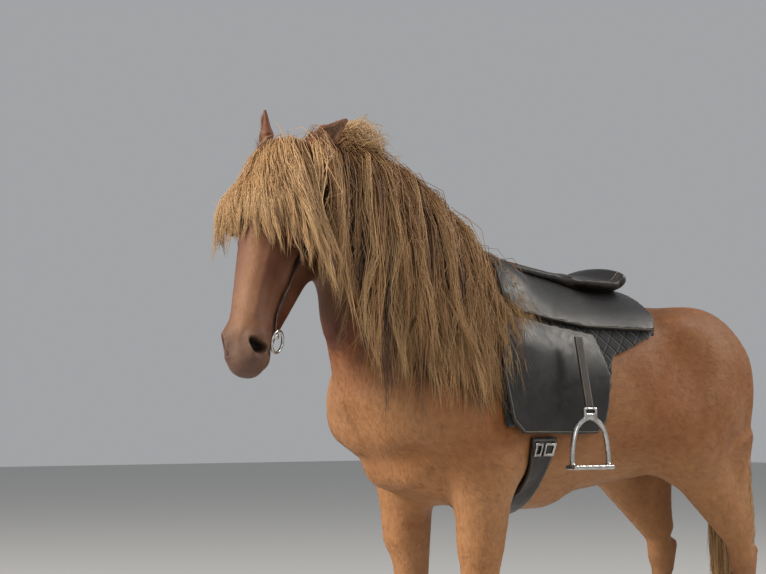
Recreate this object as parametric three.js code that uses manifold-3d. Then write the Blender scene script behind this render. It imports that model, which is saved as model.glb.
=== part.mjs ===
// A life-size still model of an Icelandic horse, standing square with its neck arched and its head
// turned to the left, wearing a bridle and an Icelandic riding saddle.
// Millimetres, +X towards the breast, +Y to the horse's left, +Z up, hooves on z = 0.
import * as THREE from "three";
import { mergeVertices } from "three/addons/utils/BufferGeometryUtils.js";
import Module from "manifold-3d";

const wasm = await Module();
wasm.setup();

// Driving sizes of the horse
const WITHERS = 1380; // height at the withers
const BODY_CENTRE_X = 162; // where the middle of the finished horse's length lies in the drawing below
const BODY_CENTRE_Y = 0; // and the middle of its width
const HEAD_SCALE = 1.03; // the head's drawing is 570 long, from poll to lip
const POLL = new THREE.Vector3(974, 24, 1619); // top of the skull, behind the forelock
const HEAD_YAW = 34; // degrees to the left of the body
const HEAD_PITCH = 63.5; // degrees that the nasal line points below the horizon
const LEG_SPREAD = 142; // from the middle plane to a hoof's middle
const CUT_GAP = 0.4; // thin parting between neighbouring pieces
const SKIN_GAP = 0.5; // parting between the skin and what lies on it

// Small vector helpers
const vec = (x, y, z) => new THREE.Vector3(x, y, z);
const mirror = (p) => vec(p.x, -p.y, p.z);
const clamp = THREE.MathUtils.clamp;
const lerp = THREE.MathUtils.lerp;
const degrees = THREE.MathUtils.degToRad;

// Flesh is a field: a function of a point that is negative inside. Each mass of flesh is a tapering
// length between two points whose section is an ellipse, `wide` along `side` and `deep` across it.
function mass(from, to, { deep, wide, blend = 40, side = vec(0, 1, 0), tip }) {
  const [deepA, deepB] = [deep].flat().length > 1 ? deep : [deep, deep];
  const [wideA, wideB] = [wide].flat().length > 1 ? wide : [wide, wide];
  const along = to.clone().sub(from);
  const length = Math.max(along.length(), 1e-3);
  along.divideScalar(length);
  const across = side.clone().addScaledVector(along, -side.dot(along)).normalize();
  const up = along.clone().cross(across);
  const end = tip ?? Math.min(deepA, deepB, wideA, wideB);
  const reach = Math.max(deepA, deepB, wideA, wideB, end) + blend;
  const middle = from.clone().add(to).multiplyScalar(0.5);
  const field = (x, y, z, nearest) => {
    const mx = x - middle.x;
    const my = y - middle.y;
    const mz = z - middle.z;
    const far = Math.sqrt(mx * mx + my * my + mz * mz) - length / 2 - reach;
    if (far > nearest) return far + blend;
    const qx = x - from.x;
    const qy = y - from.y;
    const qz = z - from.z;
    const s = qx * along.x + qy * along.y + qz * along.z;
    const t = clamp(s / length, 0, 1);
    const d = lerp(deepA, deepB, t);
    const w = lerp(wideA, wideB, t);
    const u = qx * up.x + qy * up.y + qz * up.z;
    const v = qx * across.x + qy * across.y + qz * across.z;
    const over = s - t * length;
    const k = Math.sqrt((u / d) ** 2 + (v / w) ** 2 + (over / end) ** 2);
    if (k < 1e-3) return -Math.min(d, w);
    return Math.sqrt(u * u + v * v + over * over) * (1 - 1 / k);
  };
  return { field, blend };
}

// A round-ended lump with three half-sizes, along `along`, `side` and across both.
function lump(centre, [length, wide, deep], options = {}) {
  const along = options.along ?? vec(1, 0, 0);
  const half = along.clone().normalize().multiplyScalar(0.5);
  return mass(centre.clone().sub(half), centre.clone().add(half), {
    deep,
    wide,
    tip: length,
    blend: options.blend ?? 40,
    side: options.side,
  });
}

// Joins masses with soft creases, then scoops out the hollows.
function fleshOf(masses, hollows = []) {
  return (x, y, z) => {
    let d = 1e3;
    for (const m of masses) {
      const e = m.field(x, y, z, d);
      const h = Math.max(m.blend - Math.abs(d - e), 0) / m.blend;
      d = Math.min(d, e) - (h * h * m.blend) / 4;
    }
    for (const m of hollows) {
      const e = -m.field(x, y, z, 1e3);
      const h = Math.max(m.blend - Math.abs(d - e), 0) / m.blend;
      d = Math.max(d, e) + (h * h * m.blend) / 4;
    }
    return d;
  };
}

const bothSides = (make) => [make((p) => p), make(mirror)].flat();

// Head. It is drawn with x down the face from the poll, y to its left and z out of the forehead.
const headFrame = new THREE.Matrix4()
  .makeTranslation(POLL)
  .multiply(new THREE.Matrix4().makeRotationZ(degrees(HEAD_YAW)))
  .multiply(new THREE.Matrix4().makeRotationY(degrees(HEAD_PITCH)))
  .scale(vec(HEAD_SCALE, HEAD_SCALE, HEAD_SCALE));
const headTurn = new THREE.Matrix4().extractRotation(headFrame);
const onHead = (p) => p.clone().applyMatrix4(headFrame);
const headSide = vec(0, 1, 0).applyMatrix4(headTurn);
const headWay = (p) => p.clone().applyMatrix4(headTurn);
const EYE = { at: vec(186, 81, -50), radius: 21 };

function headMass(from, to, options) {
  const sized = (v) => [v].flat().map((n) => n * HEAD_SCALE);
  return mass(onHead(from), onHead(to), {
    ...options,
    deep: sized(options.deep),
    wide: sized(options.wide),
    side: headSide,
    tip: options.tip && options.tip * HEAD_SCALE,
  });
}

function headLump(centre, sizes, options = {}) {
  return lump(onHead(centre), sizes.map((n) => n * HEAD_SCALE), {
    blend: options.blend ?? 20,
    along: headWay(options.along ?? vec(1, 0, 0)),
    side: headSide,
  });
}

function headMasses() {
  const middle = [
    headMass(vec(25, 0, -72), vec(160, 0, -62), { deep: [58, 66], wide: [58, 78], blend: 40 }),
    headMass(vec(160, 0, -70), vec(460, 0, -86), { deep: [76, 44], wide: [70, 43], blend: 40 }),
    headMass(vec(150, 0, -30), vec(470, 0, -62), { deep: [34, 25], wide: [56, 32], blend: 30 }),
    headMass(vec(120, 0, -118), vec(330, 0, -130), { deep: [80, 42], wide: [52, 34], blend: 40 }),
    headLump(vec(478, 0, -92), [72, 47, 50], { blend: 30 }),
    headLump(vec(528, 0, -104), [34, 43, 40], { blend: 26 }),
    headLump(vec(492, 0, -146), [36, 31, 22], { blend: 22 }),
    headMass(vec(440, 0, -138), vec(500, 0, -138), { deep: [24, 20], wide: [24, 30], blend: 22 }),
  ];
  const sided = bothSides((s) => [
    headLump(s(vec(172, 46, -152)), [92, 36, 92], { blend: 34 }),
    headMass(s(vec(215, 42, -196)), s(vec(440, 13, -148)), {
      deep: [36, 22],
      wide: [22, 17],
      blend: 26,
    }),
    headLump(s(vec(184, 72, -44)), [40, 26, 30], { blend: 22 }),
    headMass(s(vec(222, 62, -84)), s(vec(320, 46, -98)), {
      deep: [14, 9],
      wide: [14, 9],
      blend: 22,
    }),
    headLump(s(vec(494, 33, -72)), [40, 21, 30], { blend: 18, along: vec(1, 0, -0.25) }),
    headMass(s(vec(60, 60, -76)), s(vec(140, 66, -92)), {
      deep: [26, 30],
      wide: [14, 16],
      blend: 30,
    }),
  ]);
  return [...middle, ...sided];
}

const headHollows = () =>
  bothSides((s) => [
    headLump(s(vec(510, 47, -62)), [19, 13, 12], { blend: 8, along: vec(1, 0, -0.7) }),
    headLump(s(vec(132, 82, -38)), [26, 12, 14], { blend: 20 }),
  ]);

// Neck: it rises from between the shoulders, arches, and bends to the left near the head.
function neckMasses() {
  const sideHigh = vec(-0.2, 1, 0);
  return [
    mass(vec(455, 0, 1120), vec(640, 0, 1330), {
      deep: [235, 190],
      wide: [125, 88],
      blend: 90,
    }),
    mass(vec(640, 0, 1330), vec(770, 8, 1460), { deep: [190, 155], wide: [88, 74], blend: 60 }),
    mass(vec(770, 8, 1455), vec(868, 22, 1510), {
      deep: [150, 118],
      wide: [74, 62],
      blend: 50,
      side: sideHigh,
    }),
    mass(vec(868, 22, 1510), vec(935, 34, 1530), {
      deep: [118, 88],
      wide: [62, 56],
      blend: 40,
      side: sideHigh,
    }),
    mass(vec(400, 0, 1340), vec(690, 4, 1515), { deep: [40, 42], wide: [46, 36], blend: 60 }),
    mass(vec(690, 4, 1515), vec(900, 22, 1578), { deep: [42, 34], wide: [36, 34], blend: 50 }),
  ];
}

function trunkMasses() {
  const middle = [
    mass(vec(300, 0, 1026), vec(-240, 0, 1040), {
      deep: [300, 246],
      wide: [228, 262],
      blend: 80,
      tip: 220,
    }),
    mass(vec(420, 0, WITHERS - 82), vec(110, 0, WITHERS - 132), {
      deep: [80, 60],
      wide: [44, 62],
      blend: 100,
    }),
    mass(vec(-160, 0, 1120), vec(-450, 0, 1105), {
      deep: [172, 196],
      wide: [205, 205],
      blend: 90,
      tip: 190,
    }),
    lump(vec(500, 0, 1040), [190, 165, 225], { blend: 90 }),
    mass(vec(-540, 0, 1225), vec(-690, 0, 1195), { deep: [64, 32], wide: [70, 30], blend: 70 }),
    mass(vec(560, 0, 860), vec(120, 0, 800), { deep: [70, 60], wide: [70, 90], blend: 90 }),
    mass(vec(700, 0, 1190), vec(655, 0, 1040), { deep: [85, 105], wide: [80, 110], blend: 80 }),
  ];
  const sided = bothSides((s) => [
    lump(s(vec(-452, 112, 1075)), [225, 138, 225], { blend: 80 }),
    mass(s(vec(-598, 88, 1130)), s(vec(-590, 108, 915)), {
      deep: [100, 92],
      wide: [78, 76],
      blend: 70,
    }),
    lump(s(vec(-300, 184, 1205)), [58, 44, 48], { blend: 90 }),
    mass(s(vec(345, 98, 1290)), s(vec(560, 160, 1010)), {
      deep: [92, 112],
      wide: [50, 66],
      blend: 80,
    }),
    lump(s(vec(606, 146, 1005)), [72, 56, 84], { blend: 80 }),
    mass(s(vec(585, 160, 985)), s(vec(430, 165, 850)), {
      deep: [92, 84],
      wide: [66, 60],
      blend: 60,
    }),
    mass(s(vec(350, 150, 1130)), s(vec(400, 165, 870)), {
      deep: [115, 80],
      wide: [62, 58],
      blend: 70,
    }),
    lump(s(vec(632, 62, 985)), [86, 84, 112], { blend: 60 }),
    mass(s(vec(560, 66, 870)), s(vec(420, 78, 800)), {
      deep: [82, 66],
      wide: [66, 56],
      blend: 50,
    }),
  ]);
  return [...middle, ...sided];
}

// Legs. `step` carries the foot forwards or back while the body end of the leg stays where it is.
const FORE = { elbow: 800, knee: 420, fetlock: 196, coronet: 80 };
const HIND = { stifle: 890, hock: 545, fetlock: 202, coronet: 80 };
const LEGS = [
  { name: "front_left", side: 1, fore: true, step: 30 },
  { name: "front_right", side: -1, fore: true, step: -22 },
  { name: "hind_left", side: 1, fore: false, step: -30 },
  { name: "hind_right", side: -1, fore: false, step: 34 },
];
const HOOF = { toe: 64, half: 57, height: 76, lean: 0.4, slant: 0.2 };

function legJoints({ side, fore, step }) {
  const foot = (share) => step * share;
  const at = (x, y, z) => vec(x, y * side, z);
  if (fore) {
    return {
      top: at(428, 158, FORE.elbow + 50),
      knee: at(432 + foot(0.6), 146, FORE.knee),
      fetlock: at(420 + foot(0.95), LEG_SPREAD, FORE.fetlock),
      hoof: at(472 + foot(1), LEG_SPREAD, FORE.coronet),
    };
  }
  return {
    top: at(-400, 150, 1010),
    stifle: at(-318, 158, HIND.stifle),
    hock: at(-606 + foot(0.5), 142, HIND.hock),
    heel: at(-662 + foot(0.5), 140, HIND.hock + 36),
    fetlock: at(-604 + foot(0.95), LEG_SPREAD - 4, HIND.fetlock),
    hoof: at(-548 + foot(1), LEG_SPREAD - 4, HIND.coronet),
  };
}

// From the fetlock down, all four feet are alike.
function footMasses({ fetlock, hoof }) {
  const back = vec(-24, 0, -16);
  return [
    lump(fetlock, [37, 31, 40], { blend: 20 }),
    mass(fetlock.clone().add(back), fetlock.clone().add(vec(-20, 0, -34)), {
      deep: [26, 12],
      wide: [24, 16],
      blend: 22,
    }),
    mass(fetlock, hoof, { deep: [29, 34], wide: [28, 37], blend: 22 }),
    lump(hoof.clone().add(vec(-4, 0, 2)), [50, 49, 24], { blend: 22 }),
  ];
}

function foreLegMasses({ top, knee, fetlock, hoof }) {
  const shin = knee.clone().add(vec(-4, 0, -52));
  return [
    mass(top, knee.clone().add(vec(-2, 0, 50)), { deep: [88, 43], wide: [64, 37], blend: 50 }),
    mass(top.clone().add(vec(14, 4, -20)), top.clone().add(vec(22, 0, -190)), {
      deep: [60, 42],
      wide: [56, 40],
      blend: 50,
    }),
    lump(knee, [40, 38, 56], { blend: 30 }),
    lump(knee.clone().add(vec(-26, 0, 18)), [20, 22, 28], { blend: 24 }),
    mass(shin, fetlock.clone().add(vec(6, 0, 30)), { deep: [26, 23], wide: [26, 24], blend: 26 }),
    mass(shin.clone().add(vec(-26, 0, 0)), fetlock.clone().add(vec(-18, 0, 26)), {
      deep: [13, 14],
      wide: [15, 16],
      blend: 14,
    }),
    ...footMasses({ fetlock, hoof }),
  ];
}

function hindLegMasses({ top, stifle, hock, heel, fetlock, hoof }) {
  const shin = hock.clone().add(vec(0, 0, -58));
  return [
    mass(top, stifle, { deep: [165, 104], wide: [96, 78], blend: 70 }),
    mass(stifle.clone().add(vec(-40, 0, 10)), hock.clone().add(vec(8, 0, 66)), {
      deep: [118, 46],
      wide: [76, 33],
      blend: 60,
    }),
    mass(vec(-560, stifle.y * 0.9, 900), heel.clone().add(vec(26, 0, 60)), {
      deep: [86, 24],
      wide: [58, 18],
      blend: 60,
    }),
    lump(hock.clone().add(vec(2, 0, 8)), [46, 34, 62], { blend: 30 }),
    mass(heel, hock.clone().add(vec(-34, 0, -40)), { deep: [24, 26], wide: [19, 22], blend: 26 }),
    mass(shin, fetlock.clone().add(vec(6, 0, 30)), { deep: [30, 25], wide: [28, 25], blend: 28 }),
    mass(shin.clone().add(vec(-30, 0, 0)), fetlock.clone().add(vec(-20, 0, 26)), {
      deep: [14, 15],
      wide: [16, 17],
      blend: 16,
    }),
    ...footMasses({ fetlock, hoof }),
  ];
}

const legMasses = (leg) =>
  leg.fore ? foreLegMasses(legJoints(leg)) : hindLegMasses(legJoints(leg));

const flankHollows = () =>
  bothSides((s) => [
    lump(s(vec(-262, 300, 1120)), [90, 60, 120], { blend: 90 }),
    mass(s(vec(600, 175, 1160)), s(vec(840, 140, 1330)), { deep: 34, wide: 50, blend: 70 }),
  ]);

const wholeFlesh = fleshOf(
  [...trunkMasses(), ...neckMasses(), ...headMasses(), ...LEGS.flatMap(legMasses)],
  [...flankHollows(), ...headHollows()],
);

// Meshing: each cell of a grid is split into six tetrahedra, which gives a closed surface.
const TETRAHEDRA = [
  [0, 5, 1, 6],
  [0, 1, 2, 6],
  [0, 2, 3, 6],
  [0, 3, 7, 6],
  [0, 7, 4, 6],
  [0, 4, 5, 6],
];
const CORNERS = [
  [0, 0, 0],
  [1, 0, 0],
  [1, 1, 0],
  [0, 1, 0],
  [0, 0, 1],
  [1, 0, 1],
  [1, 1, 1],
  [0, 1, 1],
];

// Returns { points, triangles } of the field's surface inside the box, which is in `frame`'s terms.
function surfaceOf(field, low, high, step, frame = new THREE.Matrix4()) {
  const counts = ["x", "y", "z"].map((a) => Math.ceil((high[a] - low[a]) / step) + 1);
  const [nx, ny, nz] = counts;
  const values = new Float32Array(nx * ny * nz);
  const place = vec(0, 0, 0);
  const placeOf = (index) => {
    const i = index % nx;
    const j = Math.floor(index / nx) % ny;
    const k = Math.floor(index / (nx * ny));
    return place.set(low.x + i * step, low.y + j * step, low.z + k * step).applyMatrix4(frame);
  };
  for (let index = 0; index < values.length; index += 1) {
    const i = index % nx;
    const j = Math.floor(index / nx) % ny;
    const k = Math.floor(index / (nx * ny));
    const edge = !i || !j || !k || i === nx - 1 || j === ny - 1 || k === nz - 1;
    const p = placeOf(index);
    const value = field(p.x, p.y, p.z);
    values[index] = edge ? Math.max(value, step / 2) : value || 1e-4;
  }
  const points = [];
  const triangles = [];
  const found = new Map();
  const crossing = (a, b) => {
    const key = a < b ? a * values.length + b : b * values.length + a;
    if (!found.has(key)) {
      const share = clamp(values[a] / (values[a] - values[b]), 0.04, 0.96);
      const start = placeOf(a).clone();
      found.set(key, points.length);
      points.push(start.lerp(placeOf(b), share));
    }
    return found.get(key);
  };
  const cell = new Array(8);
  for (let k = 0; k < nz - 1; k += 1) {
    for (let j = 0; j < ny - 1; j += 1) {
      for (let i = 0; i < nx - 1; i += 1) {
        let inside = 0;
        CORNERS.forEach(([x, y, z], n) => {
          cell[n] = i + x + (j + y) * nx + (k + z) * nx * ny;
          inside += values[cell[n]] < 0 ? 1 : 0;
        });
        if (inside === 0 || inside === 8) continue;
        for (const tetrahedron of TETRAHEDRA) {
          const ids = tetrahedron.map((n) => cell[n]);
          const isIn = ids.map((id) => values[id] < 0);
          const count = isIn.filter(Boolean).length;
          if (count === 0 || count === 4) continue;
          triangles.push(...tetrahedronFaces(ids, isIn, count, crossing));
        }
      }
    }
  }
  return { points, triangles };
}

// The faces where the surface crosses one tetrahedron, turned so that they look out of the flesh.
function tetrahedronFaces(ids, isIn, count, crossing) {
  const even = [
    [1, 2, 3],
    [0, 3, 2],
    [0, 1, 3],
    [0, 2, 1],
  ];
  if (count === 1 || count === 3) {
    const lone = isIn.indexOf(count === 1);
    const [a, b, c] = even[lone].map((n) => crossing(ids[lone], ids[n]));
    return count === 1 ? [[a, b, c]] : [[a, c, b]];
  }
  const [p, q] = [0, 1, 2, 3].filter((n) => isIn[n]);
  const rest = even[p].filter((n) => n !== q);
  const turn = even[p].indexOf(q);
  const [r, s] = turn === 1 ? [rest[1], rest[0]] : rest;
  const [pr, ps, qr, qs] = [
    crossing(ids[p], ids[r]),
    crossing(ids[p], ids[s]),
    crossing(ids[q], ids[r]),
    crossing(ids[q], ids[s]),
  ];
  return [
    [pr, ps, qs],
    [pr, qs, qr],
  ];
}

// Simplifying: edges are folded away, the least noticeable first, until `wanted` triangles are left.
// A point's error is the sum of squared distances to the planes that met there.
function simplified({ points, triangles }, wanted) {
  const faces = triangles.map((t) => t.slice());
  const around = points.map(() => new Set());
  faces.forEach((face, f) => face.forEach((v) => around[v].add(f)));
  const errors = points.map(() => new Float64Array(10));
  const addPlane = (error, n, d, weight) => {
    const row = [n.x, n.y, n.z, d];
    let slot = 0;
    for (let i = 0; i < 4; i += 1) {
      for (let j = i; j < 4; j += 1) error[slot++] += row[i] * row[j] * weight;
    }
  };
  const normalOf = (a, b, c) => b.clone().sub(a).cross(c.clone().sub(a));
  for (const face of faces) {
    const n = normalOf(...face.map((v) => points[v]));
    const area = n.length();
    if (area < 1e-9) continue;
    n.divideScalar(area);
    face.forEach((v) => addPlane(errors[v], n, -n.dot(points[face[0]]), area));
  }
  const cost = (q, p) =>
    q[0] * p.x * p.x +
    2 * q[1] * p.x * p.y +
    2 * q[2] * p.x * p.z +
    2 * q[3] * p.x +
    q[4] * p.y * p.y +
    2 * q[5] * p.y * p.z +
    2 * q[6] * p.y +
    q[7] * p.z * p.z +
    2 * q[8] * p.z +
    q[9];
  const best = (q, a, b) => {
    const middle = a.clone().lerp(b, 0.5);
    const tries = [middle, a, b];
    const matrix = new THREE.Matrix3().set(q[0], q[1], q[2], q[1], q[4], q[5], q[2], q[5], q[7]);
    const size = q[0] + q[4] + q[7];
    if (Math.abs(matrix.determinant()) > 1e-5 * size ** 3) {
      const p = vec(-q[3], -q[6], -q[8]).applyMatrix3(matrix.invert());
      if (p.distanceTo(middle) < 1.5 * a.distanceTo(b)) tries.push(p);
    }
    const costs = tries.map((p) => cost(q, p));
    const least = costs.indexOf(Math.min(...costs));
    return { at: tries[least], cost: costs[least] + 1e-3 * a.distanceToSquared(b) };
  };
  const heap = [];
  const push = (item) => {
    let n = heap.push(item) - 1;
    while (n > 0) {
      const parent = (n - 1) >> 1;
      if (heap[parent].cost <= heap[n].cost) break;
      [heap[parent], heap[n]] = [heap[n], heap[parent]];
      n = parent;
    }
  };
  const pop = () => {
    const top = heap[0];
    const last = heap.pop();
    if (heap.length) {
      heap[0] = last;
      let n = 0;
      for (;;) {
        const left = 2 * n + 1;
        if (left >= heap.length) break;
        const right = left + 1;
        const child = right < heap.length && heap[right].cost < heap[left].cost ? right : left;
        if (heap[n].cost <= heap[child].cost) break;
        [heap[n], heap[child]] = [heap[child], heap[n]];
        n = child;
      }
    }
    return top;
  };
  const age = new Int32Array(points.length);
  const offer = (a, b) => {
    const q = errors[a].map((value, n) => value + errors[b][n]);
    const { at, cost: price } = best(q, points[a], points[b]);
    push({ a, b, at, q, cost: price, ages: age[a] + age[b] });
  };
  const neighbours = (v) => {
    const all = new Set();
    for (const f of around[v]) faces[f].forEach((w) => w !== v && all.add(w));
    return all;
  };
  const wouldFold = (v, other, at) => {
    for (const f of around[v]) {
      if (faces[f].includes(other)) continue;
      const before = faces[f].map((w) => points[w]);
      const after = faces[f].map((w) => (w === v ? at : points[w]));
      const was = normalOf(...before).normalize();
      const now = normalOf(...after);
      if (now.length() < 1e-6 || was.dot(now.normalize()) < 0.3) return true;
    }
    return false;
  };
  points.forEach((_, v) => neighbours(v).forEach((w) => v < w && offer(v, w)));
  let left = faces.length;
  while (left > wanted && heap.length) {
    const { a, b, at, q, ages } = pop();
    if (!around[a] || !around[b] || ages !== age[a] + age[b]) continue;
    const near = neighbours(a);
    if (!near.has(b)) continue;
    const shared = [...neighbours(b)].filter((w) => near.has(w));
    if (shared.length !== 2 || shared.some((w) => around[w].size < 4)) continue;
    if (wouldFold(a, b, at) || wouldFold(b, a, at)) continue;
    for (const f of [...around[b]]) {
      if (faces[f].includes(a)) {
        faces[f].forEach((v) => around[v].delete(f));
        faces[f] = null;
        left -= 1;
      } else {
        faces[f] = faces[f].map((v) => (v === b ? a : v));
        around[a].add(f);
      }
    }
    around[b] = null;
    points[a] = at;
    errors[a] = q;
    age[a] += 1;
    for (const w of neighbours(a)) offer(Math.min(a, w), Math.max(a, w));
  }
  return { points, triangles: faces.filter(Boolean) };
}

// Solids, for cutting and joining
function solidFrom({ points, triangles }) {
  const vertProperties = new Float32Array(points.flatMap((p) => [p.x, p.y, p.z]));
  const triVerts = new Uint32Array(triangles.flat());
  return new wasm.Manifold(new wasm.Mesh({ numProp: 3, vertProperties, triVerts }));
}

function solidOf(geometry) {
  const bare = geometry.clone();
  bare.deleteAttribute("normal");
  bare.deleteAttribute("uv");
  const merged = mergeVertices(bare, 1e-3);
  return new wasm.Manifold(
    new wasm.Mesh({
      numProp: 3,
      vertProperties: new Float32Array(merged.attributes.position.array),
      triVerts: new Uint32Array(merged.index.array),
    }),
  );
}

function geometryOf(solid) {
  const mesh = solid.getMesh();
  const geometry = new THREE.BufferGeometry();
  const places = new Float32Array(mesh.numVert * 3);
  for (let i = 0; i < mesh.numVert; i += 1) {
    places.set(mesh.vertProperties.subarray(i * mesh.numProp, i * mesh.numProp + 3), i * 3);
  }
  geometry.setAttribute("position", new THREE.BufferAttribute(places, 3));
  geometry.setIndex(new THREE.BufferAttribute(new Uint32Array(mesh.triVerts), 1));
  return geometry;
}

// A mesh moved out of its own surface, so that what lies on it can be cut free of it.
function grown({ points, triangles }, by) {
  const normals = points.map(() => vec(0, 0, 0));
  for (const face of triangles) {
    const [a, b, c] = face.map((v) => points[v]);
    const n = b.clone().sub(a).cross(c.clone().sub(a));
    face.forEach((v) => normals[v].add(n));
  }
  return { points: points.map((p, v) => p.clone().addScaledVector(normals[v].normalize(), by)), triangles };
}

// Everything on the side of a plane that its normal points to.
const FAR = 6000;
function beyond(point, normal) {
  const box = new THREE.BoxGeometry(FAR, FAR, FAR).translate(0, 0, FAR / 2);
  const turn = new THREE.Quaternion().setFromUnitVectors(vec(0, 0, 1), normal.clone().normalize());
  return solidOf(box.applyQuaternion(turn).translate(point.x, point.y, point.z));
}

// A block with the given outline in the side view of `frame`, reaching from y = from to y = to.
function sideBlock(outline, from, to, frame = new THREE.Matrix4()) {
  const shape = new THREE.Shape(outline.map(([x, z]) => new THREE.Vector2(x, z)));
  const block = new THREE.ExtrudeGeometry(shape, { depth: to - from, bevelEnabled: false });
  block.rotateX(Math.PI / 2).translate(0, to, 0);
  return solidOf(block.applyMatrix4(frame));
}

// A strap's outline in the side view: a line of points given a width.
function strip(line, width) {
  const points = line.map(([x, z]) => new THREE.Vector2(x, z));
  const sideOf = (n) => {
    const before = points[Math.max(n - 1, 0)];
    const after = points[Math.min(n + 1, points.length - 1)];
    const way = after.clone().sub(before).normalize();
    return new THREE.Vector2(-way.y, way.x).multiplyScalar(width / 2);
  };
  const left = points.map((p, n) => p.clone().add(sideOf(n)));
  const right = points.map((p, n) => p.clone().sub(sideOf(n)));
  return [...left, ...right.reverse()].map((p) => [p.x, p.y]);
}

const root = new THREE.Group();
root.name = "icelandic_horse";

function addNode(name, solid, colour) {
  const material = new THREE.MeshStandardMaterial({ color: colour, roughness: 0.8 });
  material.name = name;
  const mesh = new THREE.Mesh(geometryOf(biggest(solid)), material);
  mesh.name = name;
  mesh.position.set(-BODY_CENTRE_X, -BODY_CENTRE_Y, 0);
  root.add(mesh);
}

// Cutting can leave crumbs beside a piece; only the piece itself is kept.
function biggest(solid) {
  const pieces = solid.decompose();
  return pieces.reduce((a, b) => (b.volume() > a.volume() ? b : a));
}

const COLOURS = {
  coat: 0xb07646,
  face: 0x8c4e34,
  hair: 0xc9a468,
  hoof: 0x4a3a2c,
  eye: 0x20140c,
  leather: 0x1c1a1a,
  metal: 0xb8bcc0,
};

// Flesh: the body is meshed coarsely, the head and the legs finely, and they meet at flat partings.
const HEAD_PARTING = { at: onHead(vec(-8, 0, -20)), way: headWay(vec(0.9, 0, 0.44)) };
const LEG_PARTING = 705;
const THROAT_X = 788; // under the jaw the parting goes straight down here
const inFrontOfParting = (x, y, z) =>
  Math.min(
    (x - HEAD_PARTING.at.x) * HEAD_PARTING.way.x +
      (y - HEAD_PARTING.at.y) * HEAD_PARTING.way.y +
      (z - HEAD_PARTING.at.z) * HEAD_PARTING.way.z,
    x - THROAT_X,
  );
const OVERRUN = 30; // each mesh goes on this far past its parting, and is then cut
const bodyField = (x, y, z) =>
  Math.max(wholeFlesh(x, y, z), inFrontOfParting(x, y, z) - OVERRUN, LEG_PARTING - OVERRUN - z);
const headField = (x, y, z) => Math.max(wholeFlesh(x, y, z), -inFrontOfParting(x, y, z) - OVERRUN);

const BODY_BOX = [vec(-780, -340, LEG_PARTING - 60), vec(1000, 340, 1680)];
const HEAD_BOX = [vec(-150, -150, -420), vec(640, 150, 60)];
const bodyMesh = simplified(surfaceOf(bodyField, ...BODY_BOX, 19), 1600);
const headMesh = simplified(surfaceOf(headField, ...HEAD_BOX, 8, headFrame), 860);
const headPlace = (gap) =>
  beyond(HEAD_PARTING.at.clone().addScaledVector(HEAD_PARTING.way, -gap), HEAD_PARTING.way).intersect(
    beyond(vec(THROAT_X - gap, 0, 0), vec(1, 0, 0)),
  );

const LEG_STEP = 11;
const LEG_LOW = 40; // the legs go on a little way into the hooves
const LEG_INNER = 8; // each leg is meshed between these distances from the middle plane
const LEG_OUTER = 290;
const legMeshes = LEGS.map((leg) => {
  const { knee, hock, hoof, top } = legJoints(leg);
  const middle = (knee ?? hock).x;
  const [inner, outer] = leg.side > 0 ? [LEG_INNER, LEG_OUTER] : [-LEG_OUTER, -LEG_INNER];
  const low = vec(Math.min(middle - 190, hoof.x - 110), inner, LEG_LOW);
  const high = vec(Math.max(top.x, middle, hoof.x) + 130, outer, LEG_PARTING + OVERRUN);
  return simplified(surfaceOf(wholeFlesh, low, high, LEG_STEP), 250);
});

// The whole skin as one solid, a little too big, for cutting what lies on it
let skin = solidFrom(grown(bodyMesh, SKIN_GAP)).add(solidFrom(grown(headMesh, SKIN_GAP)));

// Hooves: flat below, wider at the ground, with the toe leaning forwards.
function hoofSolid(at) {
  const { toe, half, height, lean, slant } = HOOF;
  const profile = [
    [0, 0],
    [1, 0],
    [0.8, height],
    [0, height],
  ].map(([r, z]) => new THREE.Vector2(r * toe, z));
  const hoof = new THREE.LatheGeometry(profile, 16).rotateX(Math.PI / 2);
  hoof.scale(1, half / toe, 1);
  const places = hoof.attributes.position;
  for (let i = 0; i < places.count; i += 1) {
    const share = places.getZ(i) / height;
    const x = places.getX(i);
    places.setZ(i, share * height * (1 + (slant * x) / toe));
    places.setX(i, x - share * height * lean);
  }
  return solidOf(hoof.translate(at.x + 22, at.y, 0));
}

LEGS.forEach((leg, n) => {
  const { knee, hock, hoof } = legJoints(leg);
  const split = (knee ?? hock).z - 70;
  const whole = solidFrom(legMeshes[n]);
  const above = (z) => beyond(vec(0, 0, z), vec(0, 0, 1));
  const below = (z) => beyond(vec(0, 0, z), vec(0, 0, -1));
  const upper = whole.intersect(below(LEG_PARTING - CUT_GAP)).intersect(above(split));
  const hoofTop = beyond(vec(hoof.x, 0, HOOF.height - 16), vec(-0.2, 0, 1));
  const lower = whole.intersect(below(split - CUT_GAP)).intersect(hoofTop);
  const hoofBody = hoofSolid(hoof).subtract(solidFrom(grown(legMeshes[n], SKIN_GAP)).intersect(
    beyond(vec(hoof.x, 0, HOOF.height - 16 - CUT_GAP), vec(-0.2, 0, 1)),
  ));
  addNode(`leg_${leg.name}_upper`, upper, COLOURS.coat);
  addNode(`leg_${leg.name}_lower`, lower, COLOURS.coat);
  addNode(`hoof_${leg.name}`, hoofBody, COLOURS.hoof);
});

// Trunk and neck
const NECK_PARTING = { at: vec(560, 0, 1285), way: vec(0.68, 0, 0.73) };
const body = solidFrom(bodyMesh)
  .subtract(headPlace(CUT_GAP))
  .intersect(beyond(vec(0, 0, LEG_PARTING), vec(0, 0, 1)));
const neckStart = NECK_PARTING.at.clone().addScaledVector(NECK_PARTING.way, CUT_GAP);
addNode("trunk", body.intersect(beyond(NECK_PARTING.at, NECK_PARTING.way.clone().negate())), COLOURS.coat);
addNode("neck", body.intersect(beyond(neckStart, NECK_PARTING.way)), COLOURS.coat);

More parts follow.
